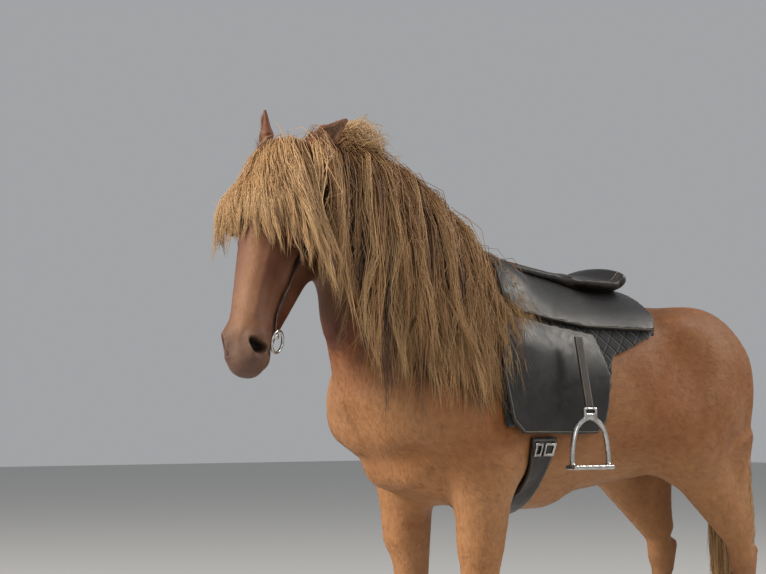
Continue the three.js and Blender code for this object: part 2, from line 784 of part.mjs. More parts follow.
// Eyes, set into the head
const eyeSolid = (side, extra = 0) => {
  const radius = EYE.radius * HEAD_SCALE + extra;
  const at = onHead(vec(EYE.at.x, EYE.at.y * side, EYE.at.z));
  return solidOf(new THREE.IcosahedronGeometry(radius, 2).translate(at.x, at.y, at.z));
};
const head = solidFrom(headMesh)
  .intersect(headPlace(0))
  .subtract(eyeSolid(1, CUT_GAP))
  .subtract(eyeSolid(-1, CUT_GAP));
addNode("head", head, COLOURS.face);
addNode("eye_left", eyeSolid(1), COLOURS.eye);
addNode("eye_right", eyeSolid(-1), COLOURS.eye);
skin = skin.add(eyeSolid(1, SKIN_GAP)).add(eyeSolid(-1, SKIN_GAP));

// Ears: hollow leaves. The left one is laid back, the right one stands up.
function earSolid(base, tip, front) {
  const middle = base.clone().lerp(tip, 0.42);
  const side = tip.clone().sub(base).normalize().cross(front).normalize();
  const leaf = [
    mass(base, middle, { deep: [20, 17], wide: [24, 29], blend: 14, side }),
    mass(middle, tip, { deep: [17, 4], wide: [29, 5], blend: 10, side }),
  ];
  const bowl = (share) => base.clone().lerp(tip, share).addScaledVector(front, 15);
  const hollow = [mass(bowl(0.2), bowl(0.9), { deep: [13, 4], wide: [17, 3], blend: 4, side })];
  const low = base.clone().min(tip).subScalar(45);
  const high = base.clone().max(tip).addScalar(45);
  return simplified(surfaceOf(fleshOf(leaf, hollow), low, high, 5), 130);
}
const EARS = {
  left: { base: vec(905, 84, 1606), tip: vec(815, 98, 1688), front: vec(0.1, 0.9, 0.35) },
  right: { base: vec(962, -32, 1600), tip: vec(964, -40, 1716), front: vec(0.85, -0.35, 0) },
};
const ears = Object.fromEntries(
  Object.entries(EARS).map(([name, { base, tip, front }]) => [
    name,
    earSolid(base, tip, front.clone().normalize()),
  ]),
);
for (const [name, ear] of Object.entries(ears)) {
  addNode(`ear_${name}`, solidFrom(ear).subtract(skin), COLOURS.face);
  skin = skin.add(solidFrom(grown(ear, SKIN_GAP)));
}

// Saddle. Each piece is a layer over the skin, `thick` out from it, cut to an outline in the side view.
const SADDLE_BOX = [vec(-230, -330, 690), vec(500, 330, 1400)];
const layerMesh = (thick, wanted, box = SADDLE_BOX, step = 22) =>
  simplified(surfaceOf((x, y, z) => wholeFlesh(x, y, z) - thick, ...box, step), wanted);
const REACH = 420;
const layerSides = { left: [2, REACH], right: [-REACH, -2] };

const PAD = { thick: 12 };
const padMesh = layerMesh(PAD.thick, 340);
const padSolid = solidFrom(padMesh);
const PAD_OUTLINE = [
  [396, 1460],
  [442, 1180],
  [440, 940],
  [96, 940],
  [30, 1130],
  [-150, 1196],
  [-178, 1230],
  [-176, 1460],
];
addNode(
  "saddle_pad",
  padSolid.intersect(sideBlock(PAD_OUTLINE, -REACH, REACH)).subtract(skin),
  COLOURS.leather,
);
const overPad = solidFrom(grown(padMesh, SKIN_GAP));

const PANEL = { thick: 34, channel: 40 };
const panelMesh = layerMesh(PANEL.thick, 320);
const PANEL_OUTLINE = [
  [388, 1460],
  [402, 1280],
  [372, 1236],
  [120, 1206],
  [-130, 1206],
  [-160, 1250],
  [-162, 1460],
];
const FLAP = { thick: 24 };
const flapMesh = layerMesh(FLAP.thick, 320);
const FLAP_OUTLINE = [
  [380, 1228],
  [434, 1196],
  [446, 1080],
  [424, 960],
  [388, 926],
  [110, 926],
  [84, 960],
  [70, 1080],
  [96, 1192],
];
for (const [side, [from, to]] of Object.entries(layerSides)) {
  const inner = side === "left" ? PANEL.channel : -PANEL.channel;
  const panelBlock = sideBlock(PANEL_OUTLINE, side === "left" ? inner : from, side === "left" ? to : inner);
  addNode(`panel_${side}`, solidFrom(panelMesh).intersect(panelBlock).subtract(overPad), COLOURS.leather);
  const flapBlock = sideBlock(FLAP_OUTLINE, from, to);
  addNode(`flap_${side}`, solidFrom(flapMesh).intersect(flapBlock).subtract(overPad), COLOURS.leather);
}

// Seat: a dished top between the pommel and the cantle.
const SEAT = [
  mass(vec(296, 0, 1384), vec(60, 0, 1350), { deep: [26, 26], wide: [62, 112], blend: 40 }),
  mass(vec(60, 0, 1350), vec(-96, 0, 1346), { deep: [26, 30], wide: [112, 148], blend: 40 }),
  lump(vec(312, 0, 1386), [36, 74, 30], { blend: 30 }),
  lump(vec(-126, 0, 1364), [34, 146, 42], { blend: 40 }),
];
const SEAT_HOLLOWS = [lump(vec(84, 0, 1450), [150, 150, 52], { blend: 60 })];
const seatMesh = simplified(
  surfaceOf(fleshOf(SEAT, SEAT_HOLLOWS), vec(-200, -190, 1250), vec(380, 190, 1460), 14),
  300,
);
const overPanel = solidFrom(grown(panelMesh, SKIN_GAP));
addNode("seat", solidFrom(seatMesh).subtract(overPanel), COLOURS.leather);

// Girth, with its buckles
const GIRTH = { front: 338, back: 234, top: 920, bottom: 708, thick: 9 };
const GIRTH_BOX = [vec(180, -330, 660), vec(460, 330, 1010)];
const girthMesh = layerMesh(GIRTH.thick, 300, GIRTH_BOX, 18);
const girthOutline = [
  [GIRTH.back, GIRTH.bottom],
  [GIRTH.front, GIRTH.bottom],
  [GIRTH.front, GIRTH.top],
  [GIRTH.back, GIRTH.top],
];
addNode(
  "girth",
  solidFrom(girthMesh).intersect(sideBlock(girthOutline, -REACH, REACH)).subtract(skin),
  COLOURS.leather,
);
const BUCKLE = { half: 20, tall: 34, bar: 7, thick: 5, z: 888, spread: 26 };
const overGirth = solidFrom(grown(girthMesh, SKIN_GAP));
const buckleShell = solidFrom(grown(girthMesh, SKIN_GAP + BUCKLE.thick));
const rectangle = (x, z, halfWide, halfTall) => [
  [x - halfWide, z - halfTall],
  [x + halfWide, z - halfTall],
  [x + halfWide, z + halfTall],
  [x - halfWide, z + halfTall],
];
for (const [side, [from, to]] of Object.entries(layerSides)) {
  ["front", "back"].forEach((place, n) => {
    const x = (GIRTH.front + GIRTH.back) / 2 + (n === 0 ? BUCKLE.spread : -BUCKLE.spread);
    const outer = sideBlock(rectangle(x, BUCKLE.z, BUCKLE.half, BUCKLE.tall / 2), from, to);
    const hole = rectangle(x, BUCKLE.z, BUCKLE.half - BUCKLE.bar, BUCKLE.tall / 2 - BUCKLE.bar);
    const buckle = buckleShell.intersect(outer).subtract(sideBlock(hole, from, to)).subtract(overGirth);
    addNode(`buckle_${side}_${place}`, buckle, COLOURS.metal);
  });
}

// Stirrups hang beside the flaps, their irons turned a little outwards.
const STIRRUP = { x: 204, top: 1176, bottom: 996, turn: -6, wide: 28, thick: 5 };
const IRON = { half: 59, height: 132, bar: 7, treadWide: 40, treadThick: 12, crown: 12 };
const overFlap = solidFrom(grown(flapMesh, SKIN_GAP));

function ironSolid() {
  const { half, height, bar, treadWide, treadThick, crown } = IRON;
  const arch = new THREE.CatmullRomCurve3([
    vec(-half, 0, 0),
    vec(-half + 1, 0, height * 0.34),
    vec(-half * 0.72, 0, height * 0.76),
    vec(0, 0, height - bar),
    vec(half * 0.72, 0, height * 0.76),
    vec(half - 1, 0, height * 0.34),
    vec(half, 0, 0),
  ]);
  const round = new THREE.Shape().absarc(0, 0, bar, 0, 2 * Math.PI);
  const loop = solidOf(
    new THREE.ExtrudeGeometry(round, { extrudePath: arch, steps: 18, curveSegments: 6 }),
  );
  const tread = new THREE.BoxGeometry(2 * half + 2 * bar, treadWide, treadThick);
  const eye = new THREE.BoxGeometry(STIRRUP.wide + 16, 2 * bar, 2 * crown);
  const slot = new THREE.BoxGeometry(STIRRUP.wide + 3, 4 * bar, crown * 0.7);
  return loop
    .add(solidOf(tread))
    .add(solidOf(eye.translate(0, 0, height + crown / 2)))
    .subtract(solidOf(slot.translate(0, 0, height + crown * 0.7)));
}

for (const side of Object.keys(layerSides)) {
  const way = side === "left" ? 1 : -1;
  const { x, top, bottom, turn, wide, thick } = STIRRUP;
  const lean = { top: 268, bottom: 302 };
  const outline = [
    [lean.top, top],
    [lean.bottom, bottom],
    [lean.bottom + thick, bottom],
    [lean.top + thick, top],
  ];
  const turned = new THREE.Matrix4()
    .makeTranslation(x, 0, 0)
    .multiply(new THREE.Matrix4().makeRotationZ((way * Math.PI) / 2));
  const strap = sideBlock(outline, -wide / 2, wide / 2, turned);
  addNode(`stirrup_leather_${side}`, strap.subtract(overFlap).subtract(overPanel), COLOURS.leather);
  const hang = lean.bottom + thick / 2;
  const angle = way > 0 ? degrees(turn) : Math.PI - degrees(turn);
  const iron = ironSolid()
    .rotate([0, 0, THREE.MathUtils.radToDeg(angle)])
    .translate([x, way * hang, bottom - IRON.height - IRON.crown * 1.6]);
  addNode(`stirrup_${side}`, iron, COLOURS.metal);
}

// Bridle: straps lying on the head, drawn in the head's own side view, and the bit's rings.
const STRAP = { thick: 5, wide: 18, thin: 15 };
const HEAD_REACH = 200;
const strapField = (x, y, z) =>
  Math.max(wholeFlesh(x, y, z) - STRAP.thick, -inFrontOfParting(x, y, z) - OVERRUN);
const strapMesh = simplified(surfaceOf(strapField, ...HEAD_BOX, 9, headFrame), 560);
const headLayer = solidFrom(strapMesh).intersect(headPlace(0)).subtract(skin);
const headStrap = (line, width) =>
  sideBlock(strip(line, width), -HEAD_REACH, HEAD_REACH, headFrame);
const CHEEK_LINE = [
  [8, 60],
  [42, -50],
  [112, -108],
  [300, -118],
  [452, -122],
];
const BROW_LINE = [
  [64, 60],
  [92, -30],
  [122, -124],
];
const THROAT_LINE = [
  [-4, 60],
  [28, -60],
  [98, -180],
  [196, -350],
];
const cheekBlock = headStrap(CHEEK_LINE, STRAP.wide);
const throatBlock = headStrap(THROAT_LINE, STRAP.thin);
const headpiece = headLayer.intersect(cheekBlock);
addNode("bridle_cheekpieces", headpiece, COLOURS.leather);
const wideCheek = headStrap(CHEEK_LINE, STRAP.wide + 2 * CUT_GAP);
const throatlatch = headLayer.intersect(throatBlock).subtract(wideCheek);
addNode("bridle_throatlatch", throatlatch, COLOURS.leather);
const browband = headLayer
  .intersect(headStrap(BROW_LINE, STRAP.thin))
  .subtract(wideCheek)
  .subtract(headStrap(THROAT_LINE, STRAP.thin + 2 * CUT_GAP));
addNode("bridle_browband", browband, COLOURS.leather);

const wideStraps = [THROAT_LINE, BROW_LINE]
  .map((line) => headStrap(line, STRAP.thin + 2 * CUT_GAP))
  .reduce((a, b) => a.add(b), wideCheek);
const overStraps = solidFrom(grown(strapMesh, SKIN_GAP)).intersect(wideStraps);
const BIT = { radius: 24, bar: 3.5, x: 456, y: 50, z: -136 };
for (const [side, way] of Object.entries({ left: 1, right: -1 })) {
  const ring = new THREE.TorusGeometry(BIT.radius, BIT.bar, 6, 20).rotateX(Math.PI / 2);
  ring.rotateZ(-way * 0.18).translate(BIT.x, way * BIT.y, BIT.z);
  const solid = solidOf(ring.applyMatrix4(headFrame));
  addNode(`bit_ring_${side}`, solid.subtract(skin).subtract(overStraps), COLOURS.metal);
}

// Hair hangs as thick masses whose outside is the hair's own outline.
function hairSolid(masses, low, high, step, wanted) {
  return solidFrom(simplified(surfaceOf(fleshOf(masses), low, high, step), wanted));
}

const FORELOCK = [
  mass(onHead(vec(-50, 6, -8)), onHead(vec(80, -12, 14)), {
    deep: [34, 30],
    wide: [44, 66],
    side: headSide,
    blend: 30,
  }),
  mass(onHead(vec(80, -12, 14)), onHead(vec(206, -20, 4)), {
    deep: [30, 12],
    wide: [68, 48],
    side: headSide,
    blend: 30,
  }),
  mass(onHead(vec(60, -50, 0)), onHead(vec(196, -84, -34)), { deep: [30, 12], wide: [30, 24] }),
  mass(onHead(vec(70, 50, -14)), onHead(vec(262, 76, -128)), {
    deep: [30, 12],
    wide: [36, 22],
    side: headWay(vec(0.3, 0.6, 0.7)),
  }),
];
const forelockLow = onHead(vec(90, 0, -40)).subScalar(260);
const forelockHigh = onHead(vec(90, 0, -40)).addScalar(240);
const forelock = hairSolid(FORELOCK, forelockLow, forelockHigh, 11, 200);
addNode("forelock", forelock.subtract(skin).subtract(overStraps), COLOURS.hair);

// Mane: a thick layer over the left side of the neck, cut to the hair's outline in the side view.
const MANE = { thick: 38, hem: 12, right: -44 }; // thickness at the crest and at the hem
const maneField = (x, y, z) => {
  const low = clamp((1400 - z) / 350, 0, 1);
  const over = clamp((y + 30) / 60, 0, 1);
  const thickness = lerp(MANE.thick, MANE.hem, low) * lerp(0.4, 1, over);
  return Math.max(wholeFlesh(x, y, z) - thickness, MANE.right - OVERRUN - y);
};
const MANE_OUTLINE = [
  [412, 1440],
  [432, 1320],
  [450, 1200],
  [462, 1030],
  [500, 1000],
  [560, 1030],
  [620, 985],
  [690, 1080],
  [780, 1130],
  [815, 1250],
  [826, 1420],
  [866, 1560],
  [868, 1660],
  [700, 1660],
];
const maneBlock = sideBlock(MANE_OUTLINE, MANE.right, 330);
const MANE_BOX = [vec(380, -100, 940), vec(900, 330, 1700)];
const maneMesh = simplified(surfaceOf(maneField, ...MANE_BOX, 18), 420);
const mane = solidFrom(maneMesh).intersect(maneBlock).subtract(skin).subtract(overStraps);
addNode("mane", mane.subtract(forelock), COLOURS.hair);

// Tail: full, hanging almost to the fetlocks.
const TAIL = [
  mass(vec(-664, 0, 1195), vec(-735, 0, 1120), { deep: [36, 46], wide: [38, 52], blend: 20 }),
  mass(vec(-735, 0, 1120), vec(-758, 0, 880), { deep: [46, 62], wide: [52, 80], blend: 8 }),
  mass(vec(-758, 0, 880), vec(-765, 0, 620), { deep: [62, 66], wide: [80, 86], blend: 8 }),
  mass(vec(-765, 0, 620), vec(-748, 0, 290), { deep: [66, 34], wide: [86, 44], blend: 8 }),
];
const tail = hairSolid(TAIL, vec(-900, -140, 200), vec(-600, 140, 1300), 18, 220);
const LEG_SKIN = legMeshes.map((mesh) => solidFrom(grown(mesh, SKIN_GAP)));
addNode("tail", LEG_SKIN.reduce((a, b) => a.subtract(b), tail.subtract(skin)), COLOURS.hair);

export default root;
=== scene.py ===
"""Looks of a life-size Icelandic horse model: skin, coat, locks, eyes, hooves, saddle and bridle."""

import logging
import math
from collections.abc import Callable, Sequence
from dataclasses import dataclass, field
from enum import Enum

import bpy
import numpy as np
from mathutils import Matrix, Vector


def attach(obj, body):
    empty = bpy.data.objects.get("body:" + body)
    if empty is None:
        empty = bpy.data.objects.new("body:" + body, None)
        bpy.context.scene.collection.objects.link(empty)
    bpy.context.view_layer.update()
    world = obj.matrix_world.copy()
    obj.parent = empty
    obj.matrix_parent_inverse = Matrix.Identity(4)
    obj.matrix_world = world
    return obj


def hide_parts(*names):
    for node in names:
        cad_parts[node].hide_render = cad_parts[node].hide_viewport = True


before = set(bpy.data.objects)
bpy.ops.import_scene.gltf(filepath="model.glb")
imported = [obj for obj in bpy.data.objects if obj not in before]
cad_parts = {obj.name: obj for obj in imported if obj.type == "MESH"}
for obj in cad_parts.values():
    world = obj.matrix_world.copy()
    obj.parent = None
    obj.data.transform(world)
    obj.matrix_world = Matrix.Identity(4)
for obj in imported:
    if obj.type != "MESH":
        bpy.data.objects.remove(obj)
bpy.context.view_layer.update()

LOG = logging.getLogger("icelandic_horse")
DRAWING_X = 162.0  # the drawing's middle, in mm, that lies over the model's origin
Array = np.ndarray
Point = tuple[float, float, float]
Line = Sequence[Point]
Outline = Sequence[tuple[float, float]]
Screen = tuple[int, int, int]  # a colour as a screen shows it
Piece = bpy.types.Object
Material = bpy.types.Material
Group = bpy.types.ShaderNodeTree
Socket = bpy.types.NodeSocket


def vec(x: float, y: float, z: float) -> Array:
    """A point or a way in the drawing, in mm."""
    return np.array([x, y, z], float)


def unit(v: Array) -> Array:
    """The vectors of an array, each made one long."""
    return v / np.maximum(np.linalg.norm(v, axis=-1, keepdims=True), 1e-12)


def to_row(p: Array) -> Array:
    """Turns drawing millimetres into the model's metres."""
    return (np.asarray(p, float) - [DRAWING_X, 0, 0]) / 1000.0


def to_drawing(p: Array) -> Array:
    """Turns the model's metres into drawing millimetres."""
    return np.asarray(p, float) * 1000.0 + [DRAWING_X, 0, 0]


def columns(*axes: Array | float) -> Array:
    """Points or ways from their x, y and z, each an array or one number."""
    return np.stack(np.broadcast_arrays(*axes), 1)


def smoothstep(low: float, high: float, value: Array) -> Array:
    """A soft step from 0 at low to 1 at high."""
    t = np.clip((value - low) / (high - low), 0, 1)
    return t * t * (3 - 2 * t)


def srgb(red: int, green: int, blue: int) -> Array:
    """A colour as a screen shows it, turned into the linear values that shaders use."""
    c = np.array([red, green, blue], float) / 255.0
    return np.where(c <= 0.04045, c / 12.92, ((c + 0.055) / 1.055) ** 2.4)


class Side(Enum):
    """The horse's own sides."""

    LEFT = 1
    RIGHT = -1

    @property
    def word(self) -> str:
        """The side's name as it stands in a piece's name."""
        return self.name.lower()


# Flesh: the same masses as in the solids, so that the skin is their smooth form


@dataclass
class Mass:
    """A tapering length of flesh with an elliptical section."""

    start: Array
    end: Array
    deep: Sequence[float]
    wide: Sequence[float]
    blend: float = 40.0
    side: Array = field(default_factory=lambda: vec(0, 1, 0))
    tip: float = 0.0

    def __post_init__(self) -> None:
        """Works out the mass's own directions."""
        way = self.end - self.start
        self.length = max(float(np.linalg.norm(way)), 1e-3)
        self.along = way / self.length
        across = self.side - self.along * float(self.side @ self.along)
        self.across = across / np.linalg.norm(across)
        self.up = np.cross(self.along, self.across)
        self.tip = self.tip or min(*self.deep, *self.wide)
        self.reach = max(*self.deep, *self.wide, self.tip) + self.blend
        self.middle = (self.start + self.end) / 2

    def distance(self, p: Array) -> Array:
        """How far each point is outside the mass, about, with minus inside."""
        q = p - self.start
        s = q @ self.along
        t = np.clip(s / self.length, 0, 1)
        d = self.deep[0] + (self.deep[1] - self.deep[0]) * t
        w = self.wide[0] + (self.wide[1] - self.wide[0]) * t
        u = q @ self.up
        v = q @ self.across
        over = s - t * self.length
        k = np.sqrt((u / d) ** 2 + (v / w) ** 2 + (over / self.tip) ** 2)
        far = np.sqrt(u * u + v * v + over * over)
        return np.where(k < 1e-3, -np.minimum(d, w), far * (1 - 1 / np.maximum(k, 1e-3)))


@dataclass
class Flesh:
    """Masses joined with soft creases, with hollows scooped out."""

    masses: list[Mass]
    hollows: list[Mass] = field(default_factory=list)

    def distance(self, p: Array) -> Array:
        """The distance field at each point, in mm, minus inside."""
        d = np.full(len(p), 1e3)
        for m in self.masses:
            far = np.linalg.norm(p - m.middle, axis=1) - m.length / 2 - m.reach
            near = np.flatnonzero(far <= d)
            if len(near) == 0:
                continue
            e = m.distance(p[near])
            old = d[near]
            h = np.maximum(m.blend - np.abs(old - e), 0) / m.blend
            d[near] = np.minimum(old, e) - h * h * m.blend / 4
        for m in self.hollows:
            e = -m.distance(p)
            h = np.maximum(m.blend - np.abs(d - e), 0) / m.blend
            d = np.maximum(d, e) + h * h * m.blend / 4
        return d

    def outward(self, p: Array) -> Array:
        """The direction straight out of the flesh at each point."""
        here = self.distance(p)
        steps = [self.distance(p + step) - here for step in np.eye(3)]
        return unit(np.stack(steps, 1))

    def settle(self, p: Array, level: float | Array, rounds: int = 4) -> Array:
        """Moves points straight in or out to the given distance from the flesh.

        Args:
            p: points in drawing mm.
            level: the distance wanted, for all or for each point.
            rounds: how many times to correct them.

        Returns:
            The moved points.
        """
        p = p.copy()
        out = self.outward(p)
        for turn in range(rounds):
            if turn == 3:
                out = self.outward(p)
            p -= out * np.clip(self.distance(p) - level, -12, 12)[:, None]
        return p


@dataclass(frozen=True)
class HeadFrame:
    """Where the head is, and how it is turned. Its x runs down the face, y left, z out of the brow."""

    poll: Point = (974.0, 24.0, 1619.0)
    yaw: float = 34.0
    pitch: float = 63.5
    scale: float = 1.03

    @property
    def turn(self) -> Array:
        """The rotation from the head's frame to the drawing's."""
        y, p = math.radians(self.yaw), math.radians(self.pitch)
        rz = np.array([[math.cos(y), -math.sin(y), 0], [math.sin(y), math.cos(y), 0], [0, 0, 1]])
        ry = np.array([[math.cos(p), 0, math.sin(p)], [0, 1, 0], [-math.sin(p), 0, math.cos(p)]])
        return rz @ ry

    def place(self, p: Array) -> Array:
        """Points of the head's frame, in the drawing's."""
        return np.asarray(p, float) * self.scale @ self.turn.T + np.array(self.poll)

    def way(self, v: Array) -> Array:
        """A direction of the head's frame, in the drawing's."""
        return self.turn @ v

    def local(self, p: Array) -> Array:
        """Points of the drawing, in the head's frame."""
        return (p - np.array(self.poll)) @ self.turn / self.scale

    def mass(self, a: Array, b: Array, deep: Sequence[float], wide: Sequence[float], blend: float) -> Mass:
        """A mass drawn in the head's frame."""
        sized = self.scale
        return Mass(
            self.place(a),
            self.place(b),
            [v * sized for v in deep],
            [v * sized for v in wide],
            blend,
            self.way(vec(0, 1, 0)),
        )

    def lump(self, at: Array, sizes: Sequence[float], blend: float = 20, along: Array | None = None) -> Mass:
        """A lump drawn in the head's frame, with its half-sizes along, across and deep."""
        way = self.way(vec(1, 0, 0) if along is None else along)
        long, wide, deep = (v * self.scale for v in sizes)
        return lump(self.place(at), (long, wide, deep), blend, way, self.way(vec(0, 1, 0)))


def lump(
    at: Array,
    sizes: Sequence[float],
    blend: float = 40,
    along: Array | None = None,
    side: Array | None = None,
) -> Mass:
    """A round-ended lump with half-sizes along, across and deep."""
    long, wide, deep = sizes
    half = unit(vec(1, 0, 0) if along is None else along) / 2
    side = vec(0, 1, 0) if side is None else side
    return Mass(at - half, at + half, (deep, deep), (wide, wide), blend, side, long)


def both(make: Callable[[Callable[[float, float, float], Array]], list[Mass]]) -> list[Mass]:
    """The same masses on the left and, mirrored, on the right."""
    return make(vec) + make(lambda x, y, z: vec(x, -y, z))


HEAD = HeadFrame()
WITHERS = 1380.0
EYE_AT = (186.0, 81.0, -50.0)
EYE_RADIUS = 21.0 * HEAD.scale
NOSTRIL_AT = (510.0, 42.0, -62.0)
NOSTRIL_HALF = (24.0, 12.5)  # half its length and half its width
MOUTH = ((566, 0, -124), (540, 26, -128), (500, 40, -127), (456, 42, -126))


@dataclass
class Horse:
    """The horse's flesh, joint by joint."""

    spread: float = 142.0

    def head(self) -> list[Mass]:
        """Skull, jaws, muzzle, cheeks and brows."""
        h = HEAD
        middle = [
            h.mass(vec(25, 0, -72), vec(160, 0, -62), (58, 66), (58, 78), 40),
            h.mass(vec(160, 0, -70), vec(460, 0, -86), (76, 44), (70, 43), 40),
            h.mass(vec(150, 0, -30), vec(470, 0, -62), (34, 25), (56, 32), 30),
            h.mass(vec(120, 0, -118), vec(330, 0, -130), (80, 42), (52, 34), 40),
            h.lump(vec(478, 0, -92), (72, 47, 50), 30),
            h.lump(vec(528, 0, -104), (34, 43, 40), 26),
            h.lump(vec(492, 0, -146), (36, 31, 22), 22),
            h.mass(vec(440, 0, -138), vec(500, 0, -138), (24, 20), (24, 30), 22),
        ]
        sided = both(
            lambda s: [
                h.lump(s(172, 46, -152), (92, 36, 92), 34),
                h.mass(s(215, 42, -196), s(440, 13, -148), (36, 22), (22, 17), 26),
                h.lump(s(184, 72, -44), (40, 26, 30), 22),
                h.mass(s(222, 62, -84), s(320, 46, -98), (14, 9), (14, 9), 22),
                h.lump(s(494, 33, -72), (40, 21, 30), 18, vec(1, 0, -0.25)),
                h.mass(s(60, 60, -76), s(140, 66, -92), (26, 30), (14, 16), 30),
            ]
        )
        return middle + sided

    def head_hollows(self) -> list[Mass]:
        """Nostrils and the dips above the eyes."""
        return both(
            lambda s: [
                HEAD.lump(s(510, 47, -62), (19, 13, 12), 8, vec(1, 0, -0.7)),
                HEAD.lump(s(132, 82, -38), (26, 12, 14), 20),
            ]
        )

    def neck(self) -> list[Mass]:
        """The neck and its crest."""
        high = vec(-0.2, 1, 0)
        return [
            Mass(vec(455, 0, 1120), vec(640, 0, 1330), (235, 190), (125, 88), 90),
            Mass(vec(640, 0, 1330), vec(770, 8, 1460), (190, 155), (88, 74), 60),
            Mass(vec(770, 8, 1455), vec(868, 22, 1510), (150, 118), (74, 62), 50, high),
            Mass(vec(868, 22, 1510), vec(935, 34, 1530), (118, 88), (62, 56), 40, high),
            Mass(vec(400, 0, 1340), vec(690, 4, 1515), (40, 42), (46, 36), 60),
            Mass(vec(690, 4, 1515), vec(900, 22, 1578), (42, 34), (36, 34), 50),
        ]

    def trunk(self) -> list[Mass]:
        """Barrel, withers, croup, shoulders, breast and haunches."""
        middle = [
            Mass(vec(300, 0, 1026), vec(-240, 0, 1040), (300, 246), (228, 262), 80, tip=220),
            Mass(vec(420, 0, WITHERS - 82), vec(110, 0, WITHERS - 132), (80, 60), (44, 62), 100),
            Mass(vec(-160, 0, 1120), vec(-450, 0, 1105), (172, 196), (205, 205), 90, tip=190),
            lump(vec(500, 0, 1040), (190, 165, 225), 90),
            Mass(vec(-540, 0, 1225), vec(-690, 0, 1195), (64, 32), (70, 30), 70),
            Mass(vec(560, 0, 860), vec(120, 0, 800), (70, 60), (70, 90), 90),
            Mass(vec(700, 0, 1190), vec(655, 0, 1040), (85, 105), (80, 110), 80),
        ]
        sided = both(
            lambda s: [
                lump(s(-452, 112, 1075), (225, 138, 225), 80),
                Mass(s(-598, 88, 1130), s(-590, 108, 915), (100, 92), (78, 76), 70),
                lump(s(-300, 184, 1205), (58, 44, 48), 90),
                Mass(s(345, 98, 1290), s(560, 160, 1010), (92, 112), (50, 66), 80),
                lump(s(606, 146, 1005), (72, 56, 84), 80),
                Mass(s(585, 160, 985), s(430, 165, 850), (92, 84), (66, 60), 60),
                Mass(s(350, 150, 1130), s(400, 165, 870), (115, 80), (62, 58), 70),
                lump(s(632, 62, 985), (86, 84, 112), 60),
                Mass(s(560, 66, 870), s(420, 78, 800), (82, 66), (66, 56), 50),
            ]
        )
        return middle + sided

    def joints(self, side: int, fore: bool, step: float) -> dict[str, Array]:
        """Where a leg's joints are, with its foot carried forwards or back by step."""
        if fore:
            return {
                "top": vec(428, 158 * side, 850),
                "knee": vec(432 + step * 0.6, 146 * side, 420),
                "fetlock": vec(420 + step * 0.95, self.spread * side, 196),
                "hoof": vec(472 + step, self.spread * side, 80),
            }
        return {
            "top": vec(-400, 150 * side, 1010),
            "stifle": vec(-318, 158 * side, 890),
            "hock": vec(-606 + step * 0.5, 142 * side, 545),
            "heel": vec(-662 + step * 0.5, 140 * side, 581),
            "fetlock": vec(-604 + step * 0.95, (self.spread - 4) * side, 202),
            "hoof": vec(-548 + step, (self.spread - 4) * side, 80),
        }

    def foot(self, j: dict[str, Array]) -> list[Mass]:
        """Fetlock, its tuft, pastern and coronet."""
        f, h = j["fetlock"], j["hoof"]
        return [
            lump(f, (37, 31, 40), 20),
            Mass(f + vec(-24, 0, -16), f + vec(-20, 0, -34), (26, 12), (24, 16), 22),
            Mass(f, h, (29, 34), (28, 37), 22),
            lump(h + vec(-4, 0, 2), (50, 49, 24), 22),
        ]

    def leg(self, side: int, fore: bool, step: float) -> list[Mass]:
        """One leg, from the body down to the hoof.

        Args:
            side: 1 for a left leg and -1 for a right one.
            fore: whether it is a front leg.
            step: how far its foot is carried forwards, in mm.

        Returns:
            The leg's masses.
        """
        j = self.joints(side, fore, step)
        fetlock = j["fetlock"]
        if fore:
            top, knee = j["top"], j["knee"]
            shin = knee + vec(-4, 0, -52)
            return [
                Mass(top, knee + vec(-2, 0, 50), (88, 43), (64, 37), 50),
                Mass(top + vec(14, 4, -20), top + vec(22, 0, -190), (60, 42), (56, 40), 50),
                lump(knee, (40, 38, 56), 30),
                lump(knee + vec(-26, 0, 18), (20, 22, 28), 24),
                Mass(shin, fetlock + vec(6, 0, 30), (26, 23), (26, 24), 26),
                Mass(shin + vec(-26, 0, 0), fetlock + vec(-18, 0, 26), (13, 14), (15, 16), 14),
                *self.foot(j),
            ]
        hock, heel, stifle = j["hock"], j["heel"], j["stifle"]
        shin = hock + vec(0, 0, -58)
        return [
            Mass(j["top"], stifle, (165, 104), (96, 78), 70),
            Mass(stifle + vec(-40, 0, 10), hock + vec(8, 0, 66), (118, 46), (76, 33), 60),
            Mass(vec(-560, stifle[1] * 0.9, 900), heel + vec(26, 0, 60), (86, 24), (58, 18), 60),
            lump(hock + vec(2, 0, 8), (46, 34, 62), 30),
            Mass(heel, hock + vec(-34, 0, -40), (24, 26), (19, 22), 26),
            Mass(shin, fetlock + vec(6, 0, 30), (30, 25), (28, 25), 28),
            Mass(shin + vec(-30, 0, 0), fetlock + vec(-20, 0, 26), (14, 15), (16, 17), 16),
            *self.foot(j),
        ]

    def flanks(self) -> list[Mass]:
        """The dips in front of the haunches and along the neck."""
        return both(
            lambda s: [
                lump(s(-262, 300, 1120), (90, 60, 120), 90),
                Mass(s(600, 175, 1160), s(840, 140, 1330), (34, 34), (50, 50), 70),
            ]
        )

    def flesh(self) -> Flesh:
        """The whole horse as one field."""
        masses = self.trunk() + self.neck() + self.head()
        for leg in LEGS:
            masses += self.leg(leg.side, leg.fore, leg.step)
        return Flesh(masses, self.flanks() + self.head_hollows())


@dataclass(frozen=True)
class Leg:
    """One leg's name, side and stance."""

    name: str
    side: int
    fore: bool
    step: float


LEGS = (
    Leg("front_left", 1, True, 30),
    Leg("front_right", -1, True, -22),
    Leg("hind_left", 1, False, -30),
    Leg("hind_right", -1, False, 34),
)
HORSE = Horse()
FLESH = HORSE.flesh()
